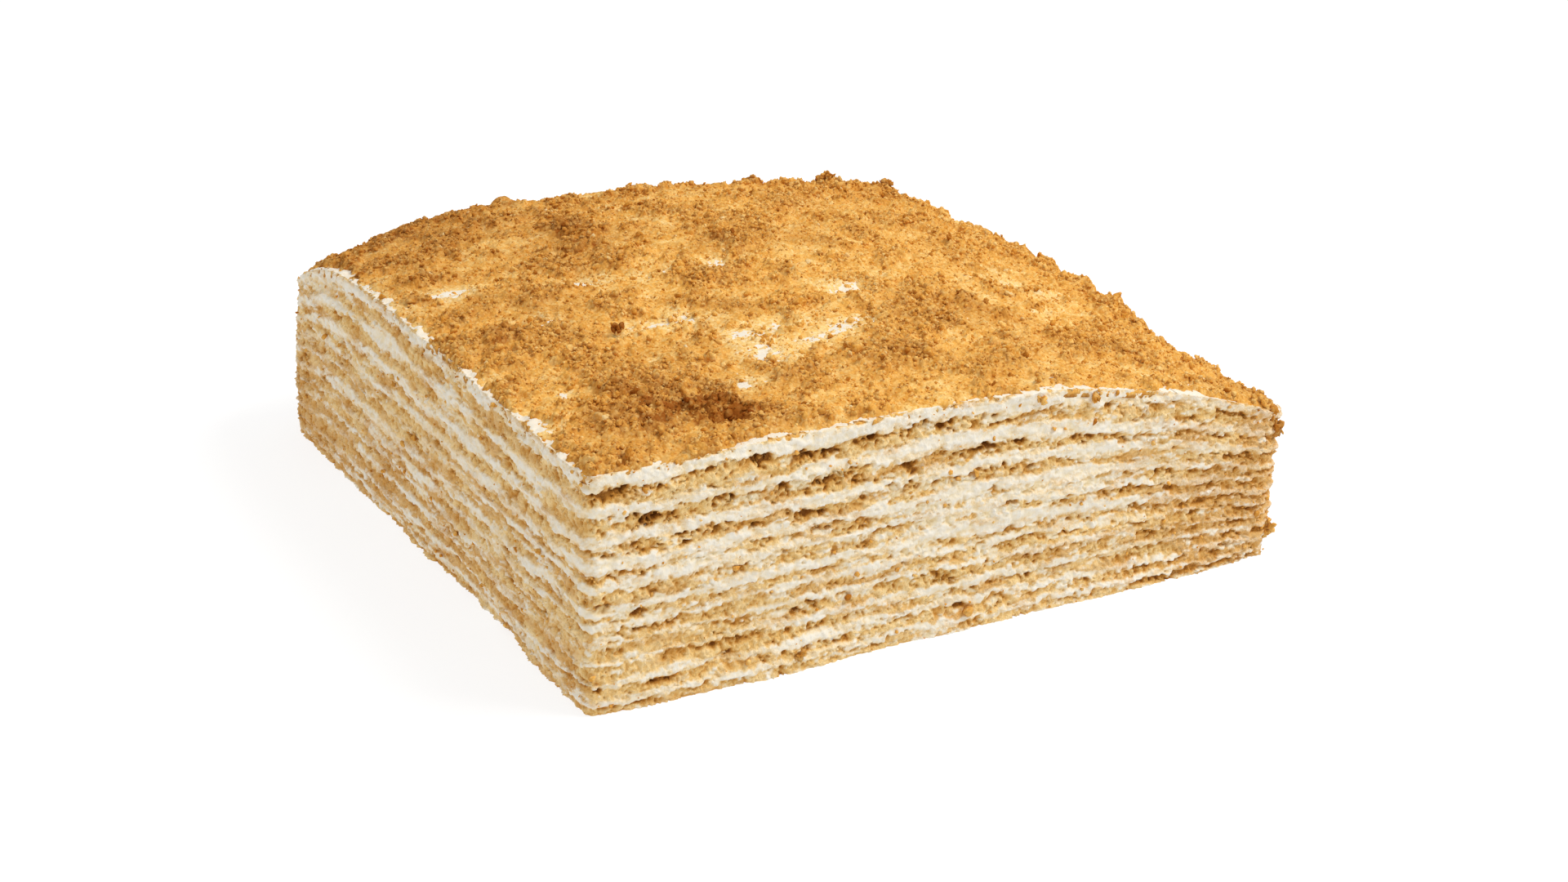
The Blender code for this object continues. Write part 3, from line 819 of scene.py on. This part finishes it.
def build_bed(material):
    """The bed of crumbs, down to a flat underside inside the cream."""
    ring, _, places = outline(BED_RING)
    grid = coons(ring * BED_SHARE, BED_ACROSS)
    rows, columns = grid.shape[:2]
    x, y = grid.reshape(-1, 2).T
    height, marks = bed(x, y)
    points = np.column_stack([x, y, height])
    edge = grid_edge(rows, columns)
    under = partial(level_height, TOP_LEVEL, lift=-BED_DEPTH)
    skirt = points[edge]
    skirt[:, 2] = under(skirt[:, 0], skirt[:, 1])
    skirt_numbers = len(points) + np.arange(len(edge))
    faces = [grid_faces(rows, columns), band_faces(skirt_numbers, edge)]
    points = np.vstack([points, skirt])
    more, closing = close_inside(skirt_numbers, places, BED_RINGS, len(points), under, False)
    points = np.vstack([points, more])
    marks = np.vstack([marks, np.tile((0.5, 0.5, 0.5), (len(points) - len(marks), 1))])
    return mesh_object("crumb_bed", points, faces, closing, material, marks)


# Loose crumbs. Each kind is one mesh.

# Crumbs with at least this many points are shaded smooth
ROUND_FROM = 12
# Each kind has this many shapes, which its crumbs share
SHAPES_OF_KIND = 16

OCTAHEDRON = (
    np.array([(1, 0, 0), (0, 1, 0), (-1, 0, 0), (0, -1, 0), (0, 0, 1), (0, 0, -1)], float),
    np.array([(0, 1, 4), (1, 2, 4), (2, 3, 4), (3, 0, 4), (1, 0, 5), (2, 1, 5), (3, 2, 5), (0, 3, 5)]),
)


def ball(subdivisions):
    """Points and faces of a ball of radius 1."""
    mesh = bmesh.new()
    bmesh.ops.create_icosphere(mesh, subdivisions=subdivisions, radius=1)
    points = np.array([vert.co for vert in mesh.verts])
    faces = np.array([[vert.index for vert in face.verts] for face in mesh.faces])
    mesh.free()
    return points, faces


def crumb_shapes(rng, points, count):
    """A few broken crumbs of about radius 1, each with its own squashed and knobbly form."""
    shapes = []
    for kind in range(count):
        knobs = 1 + 0.42 * rough(points + 7 * kind, 0.8, 600 + kind)
        shapes.append(points * knobs[:, None] * rng.uniform(0.6, 1.15, 3))
    return np.array(shapes)


def random_turns(rng, count):
    """Rotation matrices that turn at random."""
    spins = rng.normal(size=(count, 4))
    w, x, y, z = (spins / np.linalg.norm(spins, axis=1, keepdims=True)).T
    rows = [
        [1 - 2 * (y * y + z * z), 2 * (x * y - z * w), 2 * (x * z + y * w)],
        [2 * (x * y + z * w), 1 - 2 * (x * x + z * z), 2 * (y * z - x * w)],
        [2 * (x * z - y * w), 2 * (y * z + x * w), 1 - 2 * (x * x + y * y)],
    ]
    return np.moveaxis(np.array(rows), 2, 0)


def scatter(name, crumbs, solid, material, seed):
    """Many crumbs as one mesh. crumbs is (places, radii, marks)."""
    rng = np.random.default_rng(seed)
    places, radii, marks = crumbs
    points, faces = solid
    shapes = crumb_shapes(rng, points, SHAPES_OF_KIND)[rng.integers(SHAPES_OF_KIND, size=len(places))]
    turned = np.einsum("nij,nkj->nki", random_turns(rng, len(places)), shapes)
    points_of_all = turned * radii[:, None, None] + places[:, None, :]
    numbers = np.arange(len(places))[:, None, None] * len(points) + faces[None]
    faces = [numbers.reshape(-1, 3)]
    skin, closing = (faces, []) if len(points) >= ROUND_FROM else ([], faces)
    marks = np.repeat(marks, len(points), axis=0)
    obj = mesh_object(name, points_of_all.reshape(-1, 3), skin, closing, material, marks)
    return obj


def sizes_between(rng, radii, count):
    """Random radii, most of them near the smaller one."""
    return radii[0] + (radii[1] - radii[0]) * rng.random(count) ** 2


def crumb_marks(rng, dark):
    """Marks of loose crumbs. A few of them are much darker or paler than the rest."""
    count = len(dark)
    tone = rng.uniform(0.22, 0.6, count)
    odd = rng.random(count)
    tone = np.where(odd < 0.02, 0.1, np.where(odd > 0.985, 0.75, tone))
    dark = np.where(odd < 0.02, dark + 0.35, np.where(odd > 0.985, 0.5 * dark, dark + rng.normal(0, 0.09, count)))
    return np.column_stack([tone, np.zeros(count), dark])


# Crumbs are spread along lines from the middle to these points, this share of the way to the edge
SPREAD_RING = 720
SPREAD_SHARE = 0.995
# Places tried for each crumb on top and on the walls, most of which are turned down
TRIES_ON_TOP, TRIES_ON_WALLS = 4, 12


def crumbs_on_top(rng, count, radii, lift, in_clumps):
    """(places, radii, marks) of crumbs spread over the bed, few where the cream is bare.

    lift is how far their middles are above the bed, in radii. in_clumps is from 0, spread evenly, to 1, only where the
    bed is clumped.
    """
    ring = outline(SPREAD_RING)[0] * SPREAD_SHARE
    tries = TRIES_ON_TOP * count
    spots = ring[rng.integers(len(ring), size=tries)] * np.sqrt(rng.random(tries))[:, None]
    x, y = spots.T
    thickness, clump, dark, hazy = crumb_cover(x, y)
    wanted = 0.14 + 0.86 * smooth(-0.5, 0.5, thickness)
    wanted *= 1 - in_clumps * (1 - smooth(0.3, 1.3, clump))
    kept = np.flatnonzero(wanted > rng.random(tries))[:count]
    x, y = x[kept], y[kept]
    height = np.maximum(bed(x, y)[0], cream_surface(x, y))
    size = sizes_between(rng, radii, len(kept))
    places = np.column_stack([x, y, height + size * lift])
    return places, size, crumb_marks(rng, dark[kept] - 0.06 * hazy[kept])


def crumbs_on_walls(rng, count, radii):
    """(places, radii, marks) of crumbs that cling to the walls: a few on the cut faces and more on the outer sides."""
    tries = TRIES_ON_WALLS * count
    columns = rng.integers(WALL_COLUMNS, size=tries)
    share = rng.random(tries)
    wanted = 0.05 + 0.1 * smooth(0.9, 1.0, share) + ON_OUTSIDE[columns] * (0.25 + 0.75 * share)
    kept = np.flatnonzero(wanted > rng.random(tries) * 1.3)[:count]
    columns, share = columns[kept], share[kept]
    size = sizes_between(rng, radii, len(kept))
    height = np.maximum(share * LEVELS_AT_WALL[TOP_LEVEL][columns], size)
    out = 0.1 + 0.3 * rng.random(len(kept)) + places_sum(BULGES, columns, height)
    spots = EDGE[columns] + OUTWARD[columns] * out[:, None]
    return np.column_stack([spots, height]), size, crumb_marks(rng, np.full(len(kept), 0.15))


# Lumps of crumbs that stand out: (along X, along Y, height over the cream, radius, crumbs in it, how dark)
LUMPS = (
    (177, 3, -1.4, 2.5, 70, 0.3), (179.5, 2, -5.0, 1.8, 34, 0.5), (177.5, 3, -8.5, 1.5, 24, 0.4),
    (173.5, 2.5, 0.3, 2.0, 30, 0.2), (178.8, 2, -30.0, 2.2, 60, 0.1), (181.5, 67, 2.6, 1.5, 20, 0.3),
    (157, 177, 3.6, 2.8, 60, 0.25), (173, 171, 3.6, 2.8, 60, 0.35), (134, 178, 2.6, 0.8, 10, 0.5),
    (134, 178, 3.8, 0.5, 6, 0.5), (40, 66, 2.3, 1.2, 14, 1.0), (110.6, -0.6, -1.4, 0.9, 10, 0.2),
    (125, -0.5, -1.4, 0.8, 8, 0.3), (51, -0.6, -51.8, 1.7, 26, 0.3),
)


def crumbs_in_lumps(rng, radii):
    """(places, radii, marks) of crumbs that make up the lumps."""
    places = []
    dark = []
    for from_left, from_front, over_cream, radius, count, darkness in LUMPS:
        x, y = from_left - HALF_LENGTH, from_front - HALF_WIDTH
        middle = np.array([x, y, cake_height(np.array([x]), np.array([y]))[0] + over_cream])
        away = rng.normal(size=(count, 3))
        away *= (rng.random((count, 1)) ** 0.4) / np.linalg.norm(away, axis=1, keepdims=True)
        places.append(middle + radius * away)
        dark.append(np.full(count, darkness))
    places = np.concatenate(places)
    return places, sizes_between(rng, radii, len(places)), crumb_marks(rng, np.concatenate(dark))


# Kinds of loose crumb, whose radii are settings: (name, shape, seed of its turns, how many lie on top, their lift, how
# much they keep to the clumps, how many cling to the walls)
CRUMB_SEED = 31
CRUMB_KINDS = (
    ("finest", OCTAHEDRON, 41, 14000, -0.2, 0.4, 3000),
    ("small", ball(1), 40, 9200, -0.2, 0.3, 0),
    ("fine", ball(1), 42, 8500, -0.1, 0.8, 900),
    ("middling", ball(2), 43, 1700, 0.0, 0.95, 100),
    ("coarse", ball(3), 44, 60, -0.3, 1.0, 0),
)


def scatter_crumbs(sizes, material):
    """All the loose crumbs, one mesh a kind. The lumps are middling crumbs."""
    rng = np.random.default_rng(CRUMB_SEED)
    for name, solid, seed, on_top, lift, in_clumps, on_walls in CRUMB_KINDS:
        radii = [radius / MM for radius in getattr(sizes, name)]
        parts = [crumbs_on_top(rng, on_top, radii, lift, in_clumps), crumbs_on_walls(rng, on_walls, radii)]
        if name == "middling":
            parts.append(crumbs_in_lumps(rng, radii))
        crumbs = [np.concatenate(values) for values in zip(*parts)]
        scatter(f"{name}_crumbs", crumbs, solid, material, seed)


# Materials


def add_node(tree, kind, inputs=None, stops=None, **settings):
    """Adds a node, sets its properties, and fills its sockets with values or links them to other sockets.

    Sockets go by name, or by number where a node has several of one name: a range's limits are 1 to 4, and the colours
    of a mix 6 and 7. stops are a colour ramp's (place, colour) pairs.
    """
    made = tree.nodes.new(kind)
    for key, value in settings.items():
        setattr(made, key, value)
    for key, value in (inputs or {}).items():
        if isinstance(value, bpy.types.NodeSocket):
            tree.links.new(value, made.inputs[key])
        else:
            made.inputs[key].default_value = value
    for index, (place, colour) in enumerate(stops or ()):
        ramp = made.color_ramp.elements
        stop = ramp[index] if index < 2 else ramp.new(place)
        stop.position = place
        stop.color = (*colour, 1.0)
    return made


def new_material(name):
    """(material, its node tree, its shader)."""
    material = bpy.data.materials.new(name)
    material.use_nodes = True
    return material, material.node_tree, material.node_tree.nodes["Principled BSDF"]


def marked_material(name):
    """(material, its node tree, its shader, the three marks of a point, its place)."""
    material, tree, shader = new_material(name)
    marks = add_node(tree, "ShaderNodeAttribute", attribute_name="marks")
    split = add_node(tree, "ShaderNodeSeparateColor", {0: marks.outputs["Color"]})
    place = add_node(tree, "ShaderNodeNewGeometry").outputs["Position"]
    return material, tree, shader, split.outputs, place


def cut_surface(name, roughness, settings):
    """Biscuit and cream that one knife went through.

    The marks say how much is cream, how far in the place lies and how browned the biscuit is. How far in is painted as
    light and shade: pale where the cut stands out, brown and dark deep in the holes, and warmer and darker in the
    cream's hollows.
    """
    material, tree, shader, (creamed, far_in, baked), place = marked_material(name)
    # Pores of baked dough are about 0.9 mm apart. Its grain of flour and sugar is 0.1 mm, too fine to show in the
    # render, so it is drawn at 0.4 mm.
    pores = add_node(tree, "ShaderNodeTexNoise", {"Vector": place, "Scale": 1 / (0.9 * MM), "Detail": 3.0})
    grain = add_node(tree, "ShaderNodeTexNoise", {"Vector": place, "Scale": 1 / (0.4 * MM), "Detail": 2.0})
    uneven = add_node(tree, "ShaderNodeMath", {0: pores.outputs[0], 1: 0.5, 2: far_in}, operation="MULTIPLY_ADD")
    depth_shade = add_node(tree, "ShaderNodeMath", {0: uneven.outputs[0], 1: 0.25}, operation="SUBTRACT")
    # Painted highlight and shade by depth, with random tone from the pores: pale where the cut stands out, then tan,
    # then brown and dark in the holes, which is partly the darker crumb inside them and partly painted shade
    biscuit_stops = (
        (0.05, settings.biscuit_pale_highlight),
        (0.35, settings.biscuit_tan),
        (0.68, settings.biscuit_brown),
        (0.95, settings.biscuit_hole_shade),
    )
    biscuit = add_node(tree, "ShaderNodeValToRGB", {0: depth_shade.outputs[0]}, stops=biscuit_stops)
    # The cream is painted warmer and then darker in its hollows as shade, with random tint from the pores
    cream_stops = ((0.0, settings.cream_white), (0.4, settings.cream_warm_and_shade), (0.95, settings.cream_hollow_shade))
    cream = add_node(tree, "ShaderNodeValToRGB", {0: depth_shade.outputs[0]}, stops=cream_stops)
    browning = add_node(tree, "ShaderNodeMapRange", {0: baked, 1: 0.5, 4: 0.5})
    browned = add_node(
        tree,
        "ShaderNodeMix",
        {0: browning.outputs[0], 6: biscuit.outputs[0], 7: (*settings.biscuit_brown, 1.0)},
        data_type="RGBA",
    )
    speckle = add_node(tree, "ShaderNodeMath", {0: grain.outputs[0], 1: 0.5}, operation="SUBTRACT")
    broken = add_node(
        tree, "ShaderNodeMath", {0: speckle.outputs[0], 1: 0.8, 2: creamed}, operation="MULTIPLY_ADD"
    )
    creamy = add_node(tree, "ShaderNodeMapRange", {0: broken.outputs[0], 1: 0.08, 2: 0.92})
    colour = add_node(
        tree,
        "ShaderNodeMix",
        {0: creamy.outputs[0], 6: browned.outputs[2], 7: cream.outputs[0]},
        data_type="RGBA",
    )
    tree.links.new(colour.outputs[2], shader.inputs["Base Color"])
    coarse = add_node(tree, "ShaderNodeMapRange", {0: creamy.outputs[0], 3: 0.9, 4: 0.3})
    bump = add_node(
        tree, "ShaderNodeBump", {"Height": grain.outputs[0], "Strength": coarse.outputs[0], "Distance": 0.5 * MM}
    )
    tree.links.new(bump.outputs[0], shader.inputs["Normal"])
    shader.inputs["Roughness"].default_value = roughness
    shader.inputs["Specular IOR Level"].default_value = 0.3
    return material


def crumb_surface(name, settings):
    """Crumbs. The marks say each crumb's tone, how low it lies, which is painted as shade, and how dark its patch is.
    """
    material, tree, shader, (own_tone, low, dark), place = marked_material(name)
    # The finest crumbs, 0.7 mm across, are drawn as cells on the bed, each of its own tone with a crease round it that
    # is painted darker as the shade between them. Browning drifts over 1.2 mm, about one larger crumb.
    drift = add_node(tree, "ShaderNodeTexNoise", {"Vector": place, "Scale": 1 / (1.2 * MM), "Detail": 2.0})
    cells = add_node(tree, "ShaderNodeTexVoronoi", {"Vector": place, "Scale": 1 / (0.7 * MM)})
    each = add_node(tree, "ShaderNodeSeparateColor", {0: cells.outputs["Color"]})
    crease = add_node(tree, "ShaderNodeMapRange", {0: cells.outputs["Distance"], 1: 0.3, 2: 0.75})
    own = add_node(tree, "ShaderNodeMath", {0: own_tone, 1: 0.42}, operation="SUBTRACT")
    drifted = add_node(
        tree, "ShaderNodeMath", {0: drift.outputs[0], 1: 0.5, 2: own.outputs[0]}, operation="MULTIPLY_ADD"
    )
    tone = add_node(
        tree, "ShaderNodeMath", {0: each.outputs[0], 1: 0.34, 2: drifted.outputs[0]}, operation="MULTIPLY_ADD"
    )
    tone_stops = (
        (0.1, settings.crumb_amber),
        (0.4, settings.crumb_gold),
        (0.75, settings.crumb_pale),
        (1.0, settings.crumb_creamy),
    )
    toned = add_node(tree, "ShaderNodeValToRGB", {0: tone.outputs[0]}, stops=tone_stops)
    # Where crumbs lie low and in the creases the colour is multiplied by painted shade; dark adds the clumps' own
    # darker colour and the crater's painted shadow
    sunk = add_node(tree, "ShaderNodeMath", {0: low, 1: 0.4, 2: dark}, operation="MULTIPLY_ADD")
    creased = add_node(
        tree, "ShaderNodeMath", {0: crease.outputs[0], 1: 0.22, 2: sunk.outputs[0]}, operation="MULTIPLY_ADD"
    )
    shade_and_dark = add_node(tree, "ShaderNodeMapRange", {0: creased.outputs[0], 4: 0.95})
    colour = add_node(
        tree,
        "ShaderNodeMix",
        {0: shade_and_dark.outputs[0], 6: toned.outputs[0], 7: (*settings.crumb_shade, 1.0)},
        data_type="RGBA",
        blend_type="MULTIPLY",
    )
    tree.links.new(colour.outputs[2], shader.inputs["Base Color"])
    bump = add_node(
        tree, "ShaderNodeBump", {"Height": crease.outputs[0], "Strength": 0.35, "Distance": 0.2 * MM}, invert=True
    )
    tree.links.new(bump.outputs[0], shader.inputs["Normal"])
    shader.inputs["Roughness"].default_value = 0.7
    shader.inputs["Specular IOR Level"].default_value = 0.08
    return material


# Settings, operators and panel


def colour_property(name, description, default):
    """A colour, given as an sRGB hex value."""
    return bpy.props.FloatVectorProperty(
        name=name, description=description, default=linear(default), subtype="COLOR", size=3, min=0, max=1
    )


def radii_property(name, description, smallest, largest):
    """Smallest and largest radius of a kind of crumb, given in millimetres."""
    return bpy.props.FloatVectorProperty(
        name=name, description=description, default=(smallest * MM, largest * MM), unit="LENGTH", size=2, min=0.0001
    )


def amount_property(name, description, default, unit, smallest):
    """A number of the given unit."""
    return bpy.props.FloatProperty(name=name, description=description, default=default, unit=unit, min=smallest)


class MedovikColours(bpy.types.PropertyGroup):
    """Colours of the biscuit, the cream and the crumbs"""

    biscuit_tan: colour_property("Biscuit", "Cut face of the baked biscuit", "E4B76C")
    # Painted highlight where the cut stands out, together with pale tone from the pores
    biscuit_pale_highlight: colour_property("Pale biscuit", "Soft crumb soaked by the cream", "F2D296")
    # The biscuit's own browning, and also the colour partway into the holes as painted shade
    biscuit_brown: colour_property("Browned biscuit", "Where the sheet caught the heat", "CA8A32")
    # Painted shade deep in the holes, partly the darker crumb there
    biscuit_hole_shade: colour_property("Holes", "Inside of the holes in the biscuit", "8C5412")
    cream_white: colour_property("Cream", "Sour cream filling", "E8E1D2")
    # Random warm tint of the cream, and painted shade in its shallow hollows
    cream_warm_and_shade: colour_property("Warm cream", "Cream tinted by honey", "EAD6AC")
    # Painted shade in the cream's hollows
    cream_hollow_shade: colour_property("Deep cream", "Cream in hollows", "D4AE6C")
    crumb_gold: colour_property("Golden crumb", "Most of the crumbs", "EBB156")
    crumb_pale: colour_property("Pale crumb", "The lightest crumbs", "F3CD82")
    crumb_creamy: colour_property("Creamy crumb", "Crumbs thinly spread in cream", "F5DDAC")
    crumb_amber: colour_property("Amber crumb", "Toasted sides of crumbs", "D48E30")
    # Multiplies in painted shade where crumbs lie low and in the creases between them, and the darker colour of the
    # clumps
    crumb_shade: colour_property("Shade of crumbs", "Multiplies the darkest clumps and hollows", "A0743E")


class MedovikSizes(bpy.types.PropertyGroup):
    """Sizes of the loose crumbs, and the stage"""

    finest: radii_property("Finest crumbs", "Radii of the dust between the crumbs", 0.22, 0.42)
    small: radii_property("Small crumbs", "Radii of the crumbs that lie nearly everywhere", 0.25, 0.5)
    fine: radii_property("Fine crumbs", "Radii of the crumbs that make up the clumps", 0.38, 0.78)
    middling: radii_property("Middling crumbs", "Radii of the crumbs that stand out of the clumps", 0.5, 1.1)
    coarse: radii_property("Coarse crumbs", "Radii of the few large crumbs", 1.0, 1.5)
    floor_reach: amount_property("Floor reach", "From the middle of the floor to its sides", 6.0, "LENGTH", 1)
    key_size: amount_property("Softbox size", "Side of the square key light", 0.7, "LENGTH", 0.05)
    key_power: amount_property("Softbox power", "Power of the key light", 16.0, "POWER", 0)
    lens: amount_property("Lens", "Focal length of the camera", 68.1, "CAMERA", 10)


class MEDOVIK_OT_biscuit(bpy.types.Operator):
    """Build the biscuit sheets"""

    bl_idname = "medovik.biscuit"
    bl_label = "Build Biscuit Sheets"

    def execute(self, context):
        # Honey biscuit, rolled thin, baked and then sliced through: a dry, matt and crumbly cut full of small holes,
        # tan where it is fresh, with painted light and shade: paler where the cut stands out, and browner and darker
        # deep in the holes, partly the darker crumb there.
        material = cut_surface("baked_honey_biscuit_sliced", 0.75, context.scene.medovik_colours)
        for index in range(len(SHEETS)):
            sheet = build_layer(f"sheet_{index + 1:02d}", all_walls(), 2 * index, material)
            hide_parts(f"biscuit_{index + 1:02d}")
        return {"FINISHED"}


class MEDOVIK_OT_cream(bpy.types.Operator):
    """Spread the cream between and on the sheets"""

    bl_idname = "medovik.cream"
    bl_label = "Build Cream"

    def execute(self, context):
        # Sour cream, whipped, spread with a palette knife and dragged by the slicing: soft white with a faint sheen,
        # creamier where it took up crumbs, and painted warmer and darker in its hollows as shade.
        material = cut_surface("whipped_sour_cream_sliced", 0.5, context.scene.medovik_colours)
        for index in range(len(SHEETS)):
            spread = build_layer(f"spread_{index + 1:02d}", all_walls(), 2 * index + 1, material)
            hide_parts(f"cream_{index + 1:02d}")
        return {"FINISHED"}


class MEDOVIK_OT_crumbs(bpy.types.Operator):
    """Build the bed of crumbs and the loose crumbs on it"""

    bl_idname = "medovik.crumbs"
    bl_label = "Build Crumbs"

    def execute(self, context):
        # Honey biscuit rubbed to crumbs between the hands: matt golden grains with paler and toasted ones among them,
        # and painted amber shade where they lie low and shade each other.
        material = crumb_surface("rubbed_honey_biscuit_crumb", context.scene.medovik_colours)
        bed_of_crumbs = build_bed(material)
        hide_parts("crumb_topping")

        scatter_crumbs(context.scene.medovik_sizes, material)
        return {"FINISHED"}


# The camera stands where the photograph was taken from, in millimetres and degrees
CAMERA_PLACE = (-328.5, -581.9, 304.7)
CAMERA_PITCH = 23.756
CAMERA_AZIMUTH = -29.947
CAMERA_ROLL = 1.554
SENSOR_WIDTH = 36

# Place of the softbox in metres, which faces the middle of the base, and the even light and the paper round it
KEY_PLACE = (0.75, -0.5, 1.35)
STUDIO_LIGHT = 0.72
PAPER_GREY = 0.25
PAPER_GLOW = 0.78


class MEDOVIK_OT_stage(bpy.types.Operator):
    """Set up the pale floor, the soft lights and the camera"""

    bl_idname = "medovik.stage"
    bl_label = "Set Up Stage"

    def execute(self, context):
        scene = context.scene
        sizes = scene.medovik_sizes
        floor_data = bpy.data.meshes.new("floor")
        reach = sizes.floor_reach
        corners = [(-reach, -reach, 0), (reach, -reach, 0), (reach, reach, 0), (-reach, reach, 0)]
        floor_data.from_pydata(corners, [], [(0, 1, 2, 3)])
        floor = placed("floor", floor_data)
        # Matt white background paper, lit from behind as well: an even white with only a hint of the shadow on it
        material, _, shader = new_material("matt_white_paper")
        shader.inputs["Base Color"].default_value = (PAPER_GREY, PAPER_GREY, PAPER_GREY, 1)
        shader.inputs["Roughness"].default_value = 0.9
        shader.inputs["Emission Color"].default_value = (1, 1, 1, 1)
        shader.inputs["Emission Strength"].default_value = PAPER_GLOW
        floor_data.materials.append(material)

        world = bpy.data.worlds.new("studio")
        world.use_nodes = True
        background = world.node_tree.nodes["Background"]
        background.inputs["Color"].default_value = (1, 1, 1, 1)
        background.inputs["Strength"].default_value = STUDIO_LIGHT
        scene.world = world

        light_data = bpy.data.lights.new("key_softbox", "AREA")
        light_data.size = sizes.key_size
        light_data.energy = sizes.key_power
        light = placed("key_softbox", light_data)
        light.location = KEY_PLACE
        light.rotation_euler = (-Vector(KEY_PLACE)).to_track_quat("-Z", "Y").to_euler()

        camera_data = bpy.data.cameras.new("camera")
        camera_data.lens = sizes.lens
        camera_data.sensor_width = SENSOR_WIDTH
        camera = placed("camera", camera_data)
        matrix = Matrix.Translation(Vector(CAMERA_PLACE) * MM)
        for degrees, axis in ((CAMERA_AZIMUTH, "Z"), (90 - CAMERA_PITCH, "X"), (CAMERA_ROLL, "Z")):
            matrix = matrix @ Matrix.Rotation(math.radians(degrees), 4, axis)
        camera.matrix_world = matrix
        scene.camera = camera
        scene.view_settings.view_transform = "Standard"
        return {"FINISHED"}


class MEDOVIK_PT_panel(bpy.types.Panel):
    """The steps that build the slab, and its colours and sizes"""

    bl_idname = "MEDOVIK_PT_panel"
    bl_label = "Medovik"
    bl_space_type = "VIEW_3D"
    bl_region_type = "UI"
    bl_category = "Medovik"

    def draw(self, context):
        for operator in OPERATORS:
            self.layout.operator(operator.bl_idname)
        for group in (context.scene.medovik_colours, context.scene.medovik_sizes):
            for name in type(group).__annotations__:
                self.layout.prop(group, name)


OPERATORS = (MEDOVIK_OT_stage, MEDOVIK_OT_biscuit, MEDOVIK_OT_cream, MEDOVIK_OT_crumbs)
CLASSES = (MedovikColours, MedovikSizes, *OPERATORS, MEDOVIK_PT_panel)


def register():
    """Registers the classes and puts the settings on the scene."""
    for cls in CLASSES:
        bpy.utils.register_class(cls)
    bpy.types.Scene.medovik_colours = bpy.props.PointerProperty(type=MedovikColours)
    bpy.types.Scene.medovik_sizes = bpy.props.PointerProperty(type=MedovikSizes)


def unregister():
    """Takes the settings and the classes away again."""
    del bpy.types.Scene.medovik_sizes
    del bpy.types.Scene.medovik_colours
    for cls in reversed(CLASSES):
        bpy.utils.unregister_class(cls)


def main():
    """Builds the slab and its stage."""
    register()
    bpy.ops.medovik.stage()
    bpy.ops.medovik.biscuit()
    bpy.ops.medovik.cream()
    bpy.ops.medovik.crumbs()


if __name__ == "__main__":
    main()
